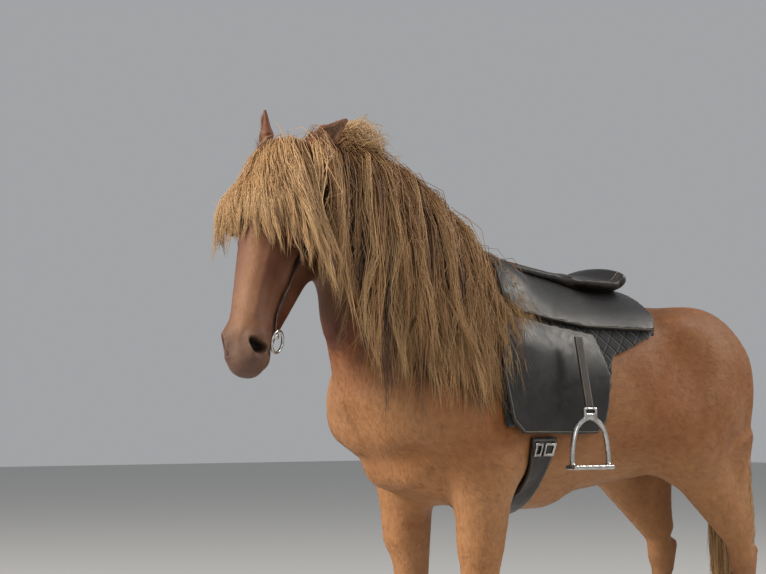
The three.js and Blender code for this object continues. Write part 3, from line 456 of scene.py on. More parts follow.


# Colours of the coat, with painted shade and a painted highlight on the face


def distance_to(p: Array, line: Line) -> Array:
    """How far each point is from a line drawn through some points, in mm."""
    least = np.full(len(p), 1e4)
    knots = [np.array(k, float) for k in line]
    for a, b in zip(knots[:-1], knots[1:]):
        t = np.clip(((p - a) @ (b - a)) / ((b - a) @ (b - a)), 0, 1)
        least = np.minimum(least, np.linalg.norm(p - a - t[:, None] * (b - a), axis=1))
    return least


def on_side(line: Line, s: int) -> list[Point]:
    """A line drawn for the left side, on the left for 1 and on the right for -1."""
    return [(x, y * s, z) for x, y, z in line]


def nostril_place(q: Array, side: Side) -> tuple[Array, Array, Array, Array]:
    """Where points of the head's frame lie in a nostril's own terms.

    Args:
        q: points of the head's frame.
        side: whose nostril.

    Returns:
        How far along and across the opening each one is, the way out, and the point from the middle.
    """
    s = side.value
    out = unit(vec(0.36, 0.78 * s, 0.46))
    along = unit(np.cross(out, vec(0, 1, 0)) * s + vec(0.55, 0, 0.3))
    along = unit(along - out * (along @ out))
    across = np.cross(along, out)
    r = q - on_side([NOSTRIL_AT], s)[0]
    a = r @ along
    b = r @ across - 0.012 * a * a * s
    return a, b, out, r


@dataclass(frozen=True)
class CoatColours:
    """The flaxen chestnut's colours and where each one lies, with painted shade and a painted highlight on the face.
    """

    body: Array = field(default_factory=lambda: srgb(150, 97, 55))
    pale: Array = field(default_factory=lambda: srgb(184, 136, 92))
    neck: Array = field(default_factory=lambda: srgb(112, 58, 31))
    face: Array = field(default_factory=lambda: srgb(90, 40, 22))
    # brow is painted shade, laid on the sides of the face and in the hollows round the eyes
    brow: Array = field(default_factory=lambda: srgb(82, 40, 24))
    muzzle: Array = field(default_factory=lambda: srgb(102, 78, 66))
    # nostril is painted shade, laid inside the nostrils and along the crease of the mouth
    nostril: Array = field(default_factory=lambda: srgb(14, 9, 8))
    shin: Array = field(default_factory=lambda: srgb(138, 92, 58))

    def at(self, p: Array) -> Array:
        """The coat's colour at each point, with painted shade on the sides of the face, round the eyes, in the
        nostrils and along the mouth, and a painted highlight down the nasal bone.

        Args:
            p: points in drawing mm.

        Returns:
            One linear colour for each point.
        """
        q = HEAD.local(p)
        colour = np.repeat(self.body[None], len(p), 0)
        colour = self.mix(colour, self.pale, smoothstep(930, 780, p[:, 2]) * 0.6)
        colour = self.mix(colour, self.pale, smoothstep(620, 720, p[:, 0]) * smoothstep(1200, 1000, p[:, 2]) * 0.5)
        colour = self.mix(colour, self.neck, smoothstep(480, 760, p[:, 0] + (p[:, 2] - 1300) * 0.6))
        colour = self.mix(colour, self.shin, smoothstep(620, 380, p[:, 2]))
        on_head = smoothstep(-60, 90, q[:, 0] * 0.9 + q[:, 2] * 0.44 + 16) * (p[:, 0] > 780)
        colour = self.mix(colour, self.face, on_head)
        # painted highlight: a paler strip down the front of the nasal bone, where light falls
        ridge = np.exp(-((q[:, 1] / 24) ** 2)) * smoothstep(180, 260, q[:, 0]) * (q[:, 2] > -70)
        colour = self.mix(colour, self.pale, on_head * ridge * 0.35)
        # painted shade: the sides of the face are darkened with the brow colour
        cheek = smoothstep(30, 62, np.abs(q[:, 1])) * smoothstep(420, 300, q[:, 0])
        colour = self.mix(colour, self.brow, on_head * cheek * 0.55)
        # painted shade in the hollow round each eye, in the brow colour
        around_eye = np.exp(-(((q[:, 0] - 186) / 42) ** 2) - (((np.abs(q[:, 1]) - 84) / 30) ** 2))
        colour = self.mix(colour, self.brow, on_head * around_eye * 0.6)
        muzzle = smoothstep(452, 512, q[:, 0] - q[:, 2] * 0.1 - 8) * on_head
        colour = self.mix(colour, self.muzzle, muzzle * 0.85)
        for side in Side:
            a, b, _, r = nostril_place(q, side)
            # painted shade inside each nostril's opening
            far = np.hypot(a / NOSTRIL_HALF[0], b / NOSTRIL_HALF[1])
            inside = smoothstep(1.25, 0.7, far) * (np.linalg.norm(r, axis=1) < 44)
            colour = self.mix(colour, self.nostril, inside * on_head)
            # painted shade along the crease of the mouth
            mouth = distance_to(q, on_side(MOUTH, side.value))
            colour = self.mix(colour, self.nostril, np.exp(-((mouth / 2.6) ** 2)) * 0.8 * on_head)
        return colour

    @staticmethod
    def mix(a: Array, b: Array, share: Array) -> Array:
        """Colours a turned into b by each point's share."""
        return a + (b - a) * share[:, None]


COLOURS = CoatColours()


# Mesh helpers


def new_mesh(name: str, points: Array, faces: Array, sizes: Array | None = None) -> Piece:
    """Makes a mesh object from arrays.

    Args:
        name: the piece's name.
        points: its vertices, in the model's metres.
        faces: vertex numbers, one row for each face, or one flat list if sizes is given.
        sizes: each face's number of corners, where they differ.

    Returns:
        The linked object.
    """
    mesh = bpy.data.meshes.new(name)
    corner = np.asarray(faces, np.int32).ravel()
    if sizes is None:
        sizes = np.full(len(faces), np.asarray(faces).shape[1], np.int32)
    starts = np.concatenate([[0], np.cumsum(sizes)[:-1]]).astype(np.int32)
    mesh.vertices.add(len(points))
    mesh.vertices.foreach_set("co", np.asarray(points, np.float32).ravel())
    mesh.loops.add(len(corner))
    mesh.loops.foreach_set("vertex_index", corner)
    mesh.polygons.add(len(starts))
    mesh.polygons.foreach_set("loop_start", starts)
    mesh.update(calc_edges=True)
    mesh.validate()
    obj = bpy.data.objects.new(name, mesh)
    bpy.context.scene.collection.objects.link(obj)
    return obj


def vertices_of(obj: Piece) -> Array:
    """An object's vertices, in the model's metres."""
    co = np.zeros(len(obj.data.vertices) * 3, np.float32)
    obj.data.vertices.foreach_get("co", co)
    return co.reshape(-1, 3).astype(float)


def set_vertices(obj: Piece, points: Array) -> None:
    """Puts an object's vertices at the given places."""
    obj.data.vertices.foreach_set("co", np.asarray(points, np.float32).ravel())
    obj.data.update()


def normals_of(obj: Piece) -> Array:
    """An object's vertex normals."""
    n = np.zeros(len(obj.data.vertices) * 3, np.float32)
    obj.data.vertex_normals.foreach_get("vector", n)
    return n.reshape(-1, 3).astype(float)


def point_colour(obj: Piece, name: str, colours: Array) -> None:
    """Stores one colour for each vertex."""
    rgba = np.concatenate([colours, np.ones((len(colours), 1))], 1).astype(np.float32)
    obj.data.color_attributes.new(name, "FLOAT_COLOR", "POINT").data.foreach_set("color", rgba.ravel())


def point_value(obj: Piece, name: str, values: Array) -> None:
    """Stores one number for each vertex."""
    attribute = obj.data.attributes.new(name, "FLOAT", "POINT")
    attribute.data.foreach_set("value", np.asarray(values, np.float32))


def corners_of(obj: Piece) -> Array:
    """The vertex number at each of a mesh's corners."""
    corners = np.zeros(len(obj.data.loops), np.int32)
    obj.data.loops.foreach_get("vertex_index", corners)
    return corners


def root_map(obj: Piece, uv: Array) -> None:
    """Gives a coat's mesh its map, from one place for each vertex."""
    layer = obj.data.uv_layers.new(name="OFBake")
    layer.data.foreach_set("uv", uv.reshape(-1, 2)[corners_of(obj)].astype(np.float32).ravel())


def bands(rows: int, n: int, closed: bool = False) -> Array:
    """Faces between rings of vertices.

    Args:
        rows: how many rings there are.
        n: how many vertices are in a ring.
        closed: whether the last ring joins the first.

    Returns:
        The four vertex numbers of each face.
    """
    here = np.arange(n)
    following = (here + 1) % n
    made = []
    for k in range(rows if closed else rows - 1):
        m = (k + 1) % rows
        made.append(np.stack([k * n + here, k * n + following, m * n + following, m * n + here], 1))
    return np.concatenate(made)


def only(obj: Piece) -> None:
    """Selects one object and nothing else."""
    bpy.ops.object.select_all(action="DESELECT")
    obj.select_set(True)
    bpy.context.view_layer.objects.active = obj


def smooth_shaded(obj: Piece, angle: float | None = None) -> None:
    """Shades an object smoothly, but for edges sharper than the angle in degrees."""
    only(obj)
    if angle is None:
        bpy.ops.object.shade_smooth()
    else:
        bpy.ops.object.shade_smooth_by_angle(angle=math.radians(angle))


def edit_whole(obj: Piece, operator: Callable[..., object], **settings: object) -> None:
    """Runs one of edit mode's operators on a whole mesh."""
    only(obj)
    bpy.ops.object.mode_set(mode="EDIT")
    bpy.ops.mesh.select_all(action="SELECT")
    operator(**settings)
    bpy.ops.object.mode_set(mode="OBJECT")


def copy_of(node: str, name: str) -> Piece:
    """A copy of a solid's mesh, with its loose triangles joined."""
    obj = bpy.data.objects.new(name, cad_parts[node].data.copy())
    bpy.context.scene.collection.objects.link(obj)
    obj.data.materials.clear()
    edit_whole(obj, bpy.ops.mesh.remove_doubles, threshold=1e-5)
    return obj


def swollen(obj: Piece, by: float) -> None:
    """Moves a mesh out of its own surface by some metres."""
    set_vertices(obj, vertices_of(obj) + normals_of(obj) * by)


def remeshed(obj: Piece, voxel: float) -> None:
    """Replaces a mesh by an even one of the same shape."""
    only(obj)
    modifier = obj.modifiers.new("Even mesh", "REMESH")
    modifier.mode = "VOXEL"
    modifier.voxel_size = voxel
    bpy.ops.object.modifier_apply(modifier=modifier.name)


def joined(parts: list[Piece]) -> Piece:
    """Joins objects into the first."""
    only(parts[0])
    for part in parts[1:]:
        part.select_set(True)
    bpy.ops.object.join()
    return parts[0]


def edges_of(obj: Piece) -> Array:
    """An object's edges, as pairs of vertex numbers."""
    e = np.zeros(len(obj.data.edges) * 2, np.int32)
    obj.data.edges.foreach_get("vertices", e)
    return e.reshape(-1, 2)


def relaxed(points: Array, edges: Array, rounds: int, share: Array | float = 0.5) -> Array:
    """Evens out a mesh by drawing each vertex towards its neighbours.

    Args:
        points: the vertices.
        edges: pairs of neighbours.
        rounds: how often to do it.
        share: how far each vertex goes, for all or for each.

    Returns:
        The new vertices.
    """
    count = np.bincount(edges.ravel(), minlength=len(points)).astype(float)
    step = np.broadcast_to(np.asarray(share, float), (len(points),))[:, None]
    for _ in range(rounds):
        total = np.zeros_like(points)
        for axis in range(3):
            total[:, axis] = np.bincount(edges[:, 0], points[edges[:, 1], axis], len(points)) + np.bincount(
                edges[:, 1], points[edges[:, 0], axis], len(points)
            )
        points = points + (total / np.maximum(count, 1)[:, None] - points) * step
    return points


def biggest_shell(obj: Piece) -> None:
    """Deletes all but the largest connected part of a mesh."""
    edges = edges_of(obj)
    label = np.arange(len(obj.data.vertices))
    while True:
        low = np.minimum(label[edges[:, 0]], label[edges[:, 1]])
        new = label.copy()
        np.minimum.at(new, edges[:, 0], low)
        np.minimum.at(new, edges[:, 1], low)
        new = new[new]
        if np.array_equal(new, label):
            break
        label = new
    keep = label == np.bincount(label).argmax()
    if keep.all():
        return
    only(obj)
    obj.data.vertices.foreach_set("select", ~keep)
    bpy.ops.object.mode_set(mode="EDIT")
    bpy.ops.mesh.select_mode(type="VERT")
    bpy.ops.object.mode_set(mode="OBJECT")
    obj.data.vertices.foreach_set("select", ~keep)
    bpy.ops.object.mode_set(mode="EDIT")
    bpy.ops.mesh.delete(type="VERT")
    bpy.ops.object.mode_set(mode="OBJECT")


def subdivided_where(obj: Piece, wanted: Array) -> None:
    """Splits the faces whose vertices are all wanted into four."""
    only(obj)
    starts = np.zeros(len(obj.data.polygons), np.int32)
    obj.data.polygons.foreach_get("loop_start", starts)
    inside = np.minimum.reduceat(wanted[corners_of(obj)].astype(np.int8), starts) > 0
    for kind in ("vertices", "edges", "polygons"):
        items = getattr(obj.data, kind)
        items.foreach_set("select", np.zeros(len(items), bool))
    bpy.ops.object.mode_set(mode="EDIT")
    bpy.ops.mesh.select_mode(type="FACE")
    bpy.ops.mesh.select_all(action="DESELECT")
    bpy.ops.object.mode_set(mode="OBJECT")
    obj.data.polygons.foreach_set("select", inside)
    bpy.ops.object.mode_set(mode="EDIT")
    bpy.ops.mesh.subdivide(number_cuts=1)
    bpy.ops.object.mode_set(mode="OBJECT")


def finished(obj: Piece, material: Material, slot: str, *nodes: str) -> None:
    """Gives a piece its finish and ties it to the model.

    Args:
        obj: the piece.
        material: its finish.
        slot: the record's material slot; not used.
        *nodes: the solids that it stands for.
    """
    obj.data.materials.clear()
    obj.data.materials.append(material)
    if nodes:
        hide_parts(*nodes)
    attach(obj, "root")
    LOG.info("%s: %d vertices", obj.name, len(obj.data.vertices))


def skin_map(p: Array) -> Array:
    """An unwrap of the skin: the trunk and head each rolled out flat, and each leg beside them.

    Args:
        p: points in drawing mm.

    Returns:
        Each point's place on the map, from 0 to 1.
    """
    q = HEAD.local(p)
    around = np.arctan2(p[:, 1], p[:, 2] - 1080) / (2 * np.pi) + 0.5
    uv = np.stack([0.02 + 0.58 * (p[:, 0] + 1050) / 2050, 0.02 + 0.46 * around], 1)
    on_head = (q[:, 0] * 0.9 + q[:, 2] * 0.44 > -16) & (p[:, 0] > 788)
    face = np.arctan2(q[:, 1], q[:, 2] + 90) / (2 * np.pi) + 0.5
    uv[on_head] = np.stack([0.63 + 0.34 * (q[:, 0] + 120) / 740, 0.02 + 0.46 * face], 1)[on_head]
    for n, leg in enumerate(LEGS):
        j = HORSE.joints(leg.side, leg.fore, leg.step)
        middle = j["fetlock"] * 0.5 + j["knee" if leg.fore else "hock"] * 0.5
        here = (p[:, 2] < 720) & (p[:, 1] * leg.side > 0) & ((p[:, 0] > -60) == leg.fore)
        turn = np.arctan2(p[:, 1] - middle[1], p[:, 0] - middle[0]) / (2 * np.pi) + 0.5
        uv[here] = np.stack([0.02 + 0.24 * n + 0.22 * turn, 0.52 + 0.44 * p[:, 2] / 720], 1)[here]
    return np.clip(uv, 0.004, 0.996)


# Node helpers


class Nodes:
    """A node tree, with short ways to add and join its nodes."""

    def __init__(self, tree: Group) -> None:
        """Takes the tree."""
        self.tree = tree

    def add(self, kind: str, **values: object) -> bpy.types.Node:
        """Adds a node and sets its properties."""
        node = self.tree.nodes.new(kind)
        for key, value in values.items():
            setattr(node, key, value)
        return node

    def link(self, a: Socket, b: Socket) -> None:
        """Joins an output to an input."""
        self.tree.links.new(a, b)

    def value(self, source: object, socket: Socket) -> None:
        """Sets an input to a number or colour, or joins it to an output."""
        if isinstance(source, Socket):
            self.link(source, socket)
        elif socket.type == "RGBA":
            socket.default_value = (*source[:3], 1.0)
        else:
            socket.default_value = source

    def where(self) -> Socket:
        """The surface's place, in the model's metres."""
        return self.add("ShaderNodeTexCoord").outputs["Object"]

    def attribute(self, name: str, output: str = "Fac") -> Socket:
        """A value or colour stored on the mesh."""
        return self.add("ShaderNodeAttribute", attribute_name=name).outputs[output]

    def noise(self, at: Socket, scale: object, detail: object = 3, rough: object = 0.55) -> Socket:
        """Noise from 0 to 1."""
        node = self.add("ShaderNodeTexNoise")
        for source, name in ((at, "Vector"), (scale, "Scale"), (detail, "Detail"), (rough, "Roughness")):
            self.value(source, node.inputs[name])
        return node.outputs["Fac"]

    def scaled(self, at: Socket, scale: Point) -> Socket:
        """Places stretched along each axis."""
        node = self.add("ShaderNodeMapping")
        self.link(at, node.inputs["Vector"])
        node.inputs["Scale"].default_value = scale
        return node.outputs["Vector"]

    def math(self, operation: str, a: object, b: object = 0.0) -> Socket:
        """A sum on two numbers."""
        node = self.add("ShaderNodeMath", operation=operation)
        self.value(a, node.inputs[0])
        self.value(b, node.inputs[1])
        return node.outputs[0]

    def spread(self, value: object, low: object, high: object, a: object, b: object) -> Socket:
        """A value's range from low to high turned into that from a to b, held at its ends."""
        node = self.add("ShaderNodeMapRange")
        ends = zip((value, low, high, a, b), ("Value", "From Min", "From Max", "To Min", "To Max"))
        for source, name in ends:
            self.value(source, node.inputs[name])
        return node.outputs["Result"]

    def mix(self, share: object, a: object, b: object, mode: str = "MIX") -> Socket:
        """Two colours mixed by a share."""
        node = self.add("ShaderNodeMix", data_type="RGBA", blend_type=mode)
        self.value(share, node.inputs["Factor"])
        for source, name in ((a, "A"), (b, "B")):
            self.value(source, [s for s in node.inputs if s.name == name and s.type == "RGBA"][0])
        return [s for s in node.outputs if s.type == "RGBA"][0]

    def place(self, group: Group, **values: object) -> Sequence:
        """Places a shared effect with its own values here.

        Args:
            group: the effect.
            **values: a number, colour or socket for each of its inputs.

        Returns:
            Its outputs, by name.
        """
        node = self.add("ShaderNodeGroup", node_tree=group)
        for name, source in values.items():
            self.value(source, node.inputs[name])
        return node.outputs


PATCH_INPUTS = ("Scale", "Detail", "Roughness", "Low", "High", "Amount")


class Effects:
    """The effects that more than one finish uses, each a node group built once."""

    def __init__(self) -> None:
        """Builds them."""
        self.patches = self.soft_patches()
        self.hide = self.stitched_hide()

    @staticmethod
    def group(name: str, given: dict[str, str], made: dict[str, str]) -> tuple[Nodes, Sequence, Sequence]:
        """Starts a node group.

        Args:
            name: its name.
            given: its inputs, each with its kind.
            made: its outputs, each with its kind.

        Returns:
            Its nodes, and the sockets inside that carry its inputs and its outputs.
        """
        tree = bpy.data.node_groups.new(name, "ShaderNodeTree")
        for way, sockets in (("INPUT", given), ("OUTPUT", made)):
            for title, kind in sockets.items():
                tree.interface.new_socket(name=title, in_out=way, socket_type="NodeSocket" + kind)
        n = Nodes(tree)
        return n, n.add("NodeGroupInput").outputs, n.add("NodeGroupOutput").inputs

    def soft_patches(self) -> Group:
        """Dust, lint, scuffs or finger marks, as noise held between two levels.

        Returns:
            The group, which puts out the patches' mask and the noise itself.
        """
        inputs = {"Place": "Vector", **dict.fromkeys(PATCH_INPUTS, "Float")}
        n, given, made = self.group("soft patches", inputs, {"Mask": "Float", "Noise": "Float"})
        noise = n.noise(given["Place"], given["Scale"], given["Detail"], given["Roughness"])
        n.link(noise, made["Noise"])
        n.link(n.spread(noise, given["Low"], given["High"], 0.0, given["Amount"]), made["Mask"])
        return n.tree

    def stitched_hide(self) -> Group:
        """Leather's grain and creases, its worn edge and the stitches beside it.

        Returns:
            The group, which puts out a colour, a roughness and a height.
        """
        inputs = dict.fromkeys(("Rim", "Run", "Scuffs", "Seam", "Rough"), "Float")
        inputs |= {"Place": "Vector", "Dark": "Color", "Worn": "Color"}
        outputs = {"Colour": "Color", "Roughness": "Float", "Height": "Float"}
        n, given, made = self.group("stitched hide", inputs, outputs)
        grain = n.add("ShaderNodeTexVoronoi", feature="F1")
        n.link(given["Place"], grain.inputs["Vector"])
        grain.inputs["Scale"].default_value = 620
        creases = n.noise(given["Place"], 46.0, 5, 0.6)
        off_seam = n.math("ABSOLUTE", n.math("SUBTRACT", given["Rim"], given["Seam"]))
        dash = n.math("LESS_THAN", n.math("FRACT", n.math("MULTIPLY", given["Run"], 165.0)), 0.66)
        stitch = n.math("MULTIPLY", n.math("LESS_THAN", off_seam, 0.0009), dash)
        edge = n.spread(given["Rim"], 0.0, 0.006, 0.75, 0.0)
        rub = n.math("MULTIPLY", n.spread(creases, 0.4, 0.7, 0.2, 1.0), edge)
        colour = n.mix(n.math("MAXIMUM", rub, given["Scuffs"]), given["Dark"], given["Worn"])
        n.link(n.mix(stitch, colour, srgb(150, 140, 124)), made["Colour"])
        rough = n.math("ADD", given["Rough"], n.spread(creases, 0.3, 0.7, -0.06, 0.16))
        n.link(rough, made["Roughness"])
        relief = n.math("MULTIPLY", grain.outputs["Distance"], 0.5)
        relief = n.math("ADD", relief, n.math("MULTIPLY", creases, 0.8))
        relief = n.math("ADD", relief, n.math("MULTIPLY", stitch, 1.2))
        n.link(n.math("SUBTRACT", relief, n.spread(off_seam, 0.0, 0.002, 0.7, 0.0)), made["Height"])
        return n.tree


class Surface(Nodes):
    """A material's nodes, with its Principled shader."""

    def __init__(self, name: str, effects: Effects) -> None:
        """Starts a material."""
        self.material = bpy.data.materials.new(name)
        self.material.use_nodes = True
        super().__init__(self.material.node_tree)
        self.effects = effects
        self.shader = self.tree.nodes["Principled BSDF"]

    def patches(self, at: Socket, *numbers: float) -> Sequence:
        """Places the soft patches, with a number for each of PATCH_INPUTS."""
        return self.place(self.effects.patches, Place=at, **dict(zip(PATCH_INPUTS, numbers)))

    def bump(self, height: Socket, distance: float, strength: float = 1.0) -> None:
        """Roughens the surface by a height, in metres."""
        node = self.add("ShaderNodeBump")
        self.link(height, node.inputs["Height"])
        node.inputs["Distance"].default_value = distance
        node.inputs["Strength"].default_value = strength
        self.link(node.outputs["Normal"], self.shader.inputs["Normal"])

    def set(self, **values: object) -> None:
        """Sets the shader's own inputs, with underscores for spaces."""
        for key, value in values.items():
            self.value(value, self.shader.inputs[key.replace("_", " ")])


@dataclass(frozen=True)
class ShortHair:
    """Short hair over skin, in the coat's colours."""

    name: str = "coat"
    # between is the colour of the painted shade between the hairs and clumps
    between: Point = (0.3, 0.16, 0.08)
    bleached: Point = (0.7, 0.45, 0.25)

    def dress(self, n: Surface) -> None:
        """Lays hairs and clumps with painted shade between them, and bleached patches."""
        at = n.where()
        hair = n.noise(n.scaled(at, (70, 260, 110)), 7.0, 3, 0.6)
        clumps = n.noise(n.scaled(at, (34, 90, 50)), 1.0, 4, 0.62)
        shade = n.math("ADD", n.math("MULTIPLY", hair, 0.5), n.math("MULTIPLY", clumps, 0.5))
        # painted shade: deep darkens the coat between the hairs and clumps
        deep = n.spread(shade, 0.38, 0.62, 0.0, 0.4)
        colour = n.mix(deep, n.attribute("marking", "Color"), self.between, "MULTIPLY")
        patches = n.patches(at, 4.0, 3, 0.55, 0.42, 0.66, 0.12)
        colour = n.mix(patches["Mask"], colour, self.bleached)
        n.set(Base_Color=colour, Roughness=n.spread(hair, 0.3, 0.7, 0.44, 0.62), Specular_IOR_Level=0.28)
        n.bump(n.math("ADD", n.math("MULTIPLY", hair, 0.35), clumps), 0.0026, 0.7)


@dataclass(frozen=True)
class LockHair:
    """Long hair: each lock has its own shade, and pales towards its tip."""

    name: str = "locks"
    # between is the colour of the painted shade between the strands
    between: Point = (0.35, 0.2, 0.1)

    def dress(self, n: Surface) -> None:
        """Lays fine streaks of painted shade between the strands, over each lock's own colour."""
        fine = n.noise(n.scaled(n.where(), (240, 240, 30)), 3.0, 2)
        # painted shade: fine streaks darken the locks between strands
        streaks = n.spread(fine, 0.3, 0.7, 0.0, 0.3)
        colour = n.mix(streaks, n.attribute("marking", "Color"), self.between, "MULTIPLY")
        n.set(Base_Color=colour, Roughness=n.spread(fine, 0.3, 0.7, 0.36, 0.52), Specular_IOR_Level=0.5)
        n.set(Sheen_Weight=0.1, Sheen_Roughness=0.35)


@dataclass(frozen=True)
class WetEye:
    """A wet dark eye."""

    name: str = "eye"

    def dress(self, n: Surface) -> None:
        """Takes the eye's own colours under a clear wet coat."""
        n.set(Base_Color=n.attribute("marking", "Color"), Roughness=0.12, Coat_Weight=1.0, Coat_Roughness=0.02)


@dataclass(frozen=True)
class HoofHorn:
    """Hoof horn with growth rings and fine grain running down."""

    name: str = "horn"
    dark: Screen = (70, 55, 44)
    light: Screen = (118, 98, 80)
    groove: Screen = (48, 38, 32)
    dust: Screen = (150, 136, 118)

    def dress(self, n: Surface) -> None:
        """Lays rings, grain and dust."""
        at = n.where()
        rings = n.noise(n.scaled(at, (4, 4, 150)), 1.0, 3)
        grain = n.noise(n.scaled(at, (420, 420, 12)), 1.0, 2)
        colour = n.mix(rings, srgb(*self.dark), srgb(*self.light))
        colour = n.mix(n.spread(grain, 0.35, 0.7, 0, 0.5), colour, srgb(*self.groove))
        dust = n.patches(at, 60.0, 4, 0.55, 0.45, 0.75, 0.35)
        colour = n.mix(dust["Mask"], colour, srgb(*self.dust))
        n.set(Base_Color=colour, Roughness=n.spread(grain, 0.3, 0.7, 0.5, 0.75))
        n.bump(n.math("ADD", rings, n.math("MULTIPLY", grain, 0.4)), 0.0012, 0.8)


@dataclass(frozen=True)
class Hide:
    """Leather with a grain, creases, wear near its edges and stitches beside them."""

    name: str
    dark: Screen
    worn: Screen
    rough: float
    seam: float  # how far from the edge the stitches run, in metres

    def dress(self, n: Surface) -> None:
        """Places the hide with its scuffs."""
        at = n.where()
        hide = n.place(
            n.effects.hide,
            Place=at,
            Rim=n.attribute("rim"),
            Run=n.attribute("run"),
            Scuffs=n.patches(at, 9.0, 5, 0.55, 0.52, 0.72, 0.22)["Mask"],
            Seam=self.seam,
            Rough=self.rough,
            Dark=srgb(*self.dark),
            Worn=srgb(*self.worn),
        )
        n.set(Base_Color=hide["Colour"], Roughness=hide["Roughness"], Specular_IOR_Level=0.5)
        n.bump(hide["Height"], 0.0006, 0.9)


@dataclass(frozen=True)
class QuiltedCotton:
    """Black cotton, quilted in diamonds."""

    name: str = "quilted cotton"
    cotton: Screen = (26, 26, 28)
    lint: Screen = (92, 86, 80)
    diamonds: float = 21.0  # to the metre

    def dress(self, n: Surface) -> None:
        """Lays the quilting, the weave and lint."""
        at = n.where()
        split = n.add("ShaderNodeSeparateXYZ")
        n.link(at, split.inputs[0])
        lines = []
        for sign in ("ADD", "SUBTRACT"):
            across = n.math("MULTIPLY", n.math(sign, split.outputs["X"], split.outputs["Z"]), self.diamonds)
            wave = n.math("ABSOLUTE", n.math("SUBTRACT", n.math("FRACT", across), 0.5))
            lines.append(n.spread(wave, 0.38, 0.5, 1.0, 0.0))
        quilt = n.math("MULTIPLY", *lines)
        weave = n.noise(n.scaled(at, (900, 900, 900)), 1.0, 2)
        lint = n.patches(at, 70.0, 5, 0.7, 0.55, 0.8, 0.3)
        n.set(Base_Color=n.mix(lint["Mask"], srgb(*self.cotton), srgb(*self.lint)), Roughness=0.9)
        n.set(Sheen_Weight=0.25, Sheen_Roughness=0.5)
        n.bump(n.math("ADD", n.math("MULTIPLY", quilt, 3.0), n.math("MULTIPLY", weave, 0.35)), 0.0014, 0.9)


@dataclass(frozen=True)
class BrushedSteel:
    """Stainless steel, lightly brushed and finger-marked."""

    name: str = "stainless steel"
    bright: Screen = (206, 206, 204)
    dull: Screen = (168, 166, 160)

    def dress(self, n: Surface) -> None:
        """Lays the brushing and the marks."""
        at = n.where()
        brush = n.noise(n.scaled(at, (60, 60, 900)), 1.0, 2)
        marks = n.patches(at, 40.0, 4, 0.55, 0.4, 0.7, 1.0)
        rough = n.spread(n.math("ADD", brush, marks["Noise"]), 0.7, 1.3, 0.2, 0.38)
        n.set(Base_Color=n.mix(marks["Mask"], srgb(*self.bright), srgb(*self.dull)))
        n.set(Metallic=1.0, Roughness=rough)
        n.bump(brush, 0.0001, 0.5)


@dataclass(frozen=True)
class PaleFloor:
    """A plain pale floor."""

    name: str = "pale floor"
    colour: Point = (0.55, 0.545, 0.53)

    def dress(self, n: Surface) -> None:
        """Gives it one dull colour."""
        n.set(Base_Color=self.colour, Roughness=0.85)


class Finish(Enum):
    """The finishes that pieces are given."""

    COAT = ShortHair()
    LOCKS = LockHair()
    EYE = WetEye()
    HORN = HoofHorn()
    LEATHER = Hide("saddle leather", (24, 22, 22), (70, 62, 56), 0.34, 0.0075)
    STRAP = Hide("strap leather", (34, 27, 23), (84, 66, 52), 0.42, 0.0028)
    PAD = QuiltedCotton()
    STEEL = BrushedSteel()
    FLOOR = PaleFloor()


class Finishes:
    """Makes each finish once."""

    def __init__(self) -> None:
        """Builds the shared effects, with no finish made yet."""
        self.effects = Effects()
        self.made: dict[Finish, Material] = {}

    def get(self, finish: Finish) -> Material:
        """The material of a finish."""
        if finish not in self.made:
            surface = Surface(finish.value.name, self.effects)
            finish.value.dress(surface)
            self.made[finish] = surface.material
        return self.made[finish]


# Skin


@dataclass(frozen=True)
class Mark:
    """A fold, vein or ridge of the skin, along a line drawn for the left side."""

    line: Line
    rise: float  # in mm, with minus for a fold
    width: float

    def height(self, p: Array, s: int) -> Array:
        """How far each point is raised by it, on the left for 1 and on the right for -1."""
        return self.rise * np.exp(-((distance_to(p, on_side(self.line, s)) / self.width) ** 2))


FACE_MARKS = (
    Mark(MOUTH, -5.5, 3.6),
    Mark([(180, 44, -6), (300, 38, -22), (440, 27, -42)], 3.0, 8),  # edge of the nasal bone
    Mark([(150, 74, -120), (210, 72, -118), (262, 62, -128)], 1.6, 12),  # cheek
    Mark([(206, 80, -58), (222, 76, -66)], -1.8, 5),  # below the eye's front corner
    Mark([(330, 44, -110), (370, 44, -84), (400, 36, -62)], 1.2, 4.5),  # forked vein
    Mark([(225, 66, -46), (330, 48, -58), (430, 38, -66)], -3.6, 13),  # hollow above the cheek
    Mark([(560, 0, -136), (520, 34, -140), (470, 38, -138)], 1.6, 7),  # lower lip
    Mark([(250, 62, -100), (330, 44, -110), (400, 36, -100), (440, 40, -88)], 1.3, 4.5),  # vein
    Mark([(218, 76, -80), (270, 66, -86), (326, 54, -88)], 4.2, 8.5),  # facial crest
    Mark([(150, 66, -214), (220, 60, -208), (300, 44, -186)], -1.6, 9),  # inside the jaw's edge
    *(
        Mark([(438 + 9 * k, 30, -60), (446 + 9 * k, 44, -96), (452 + 6 * k, 44, -122)], -0.7, 3.2)
        for k in range(3)
    ),
)
NECK_FOLDS = tuple(
    Mark([(x, 40, z), (x + 60, 70, z + 90), (x + 96, 80, z + 210)], -2.2, 12 + 3 * k)
    for k, (x, z) in enumerate(((742, 1120), (700, 1190), (650, 1230)))
)
BODY_MARKS = (
    *(Mark([(x, 118, 820), (x + 14, 108, 880), (x + 2, 120, 950)], -1.8, 7) for x in (600, 622, 640)),
    *(
        Mark([(x + 30, 262, 1150), (x, 272, 1040), (x - 24, 240, 900)], 1.1, 15)  # ribs
        for x in range(150, -223, -62)
    ),
    Mark([(-255, 205, 900), (-300, 236, 980), (-318, 246, 1080)], -4.0, 22),  # in front of the stifle
    Mark([(-600, 170, 1150), (-590, 190, 1020), (-560, 188, 900)], -3.0, 18),  # along the haunch
)


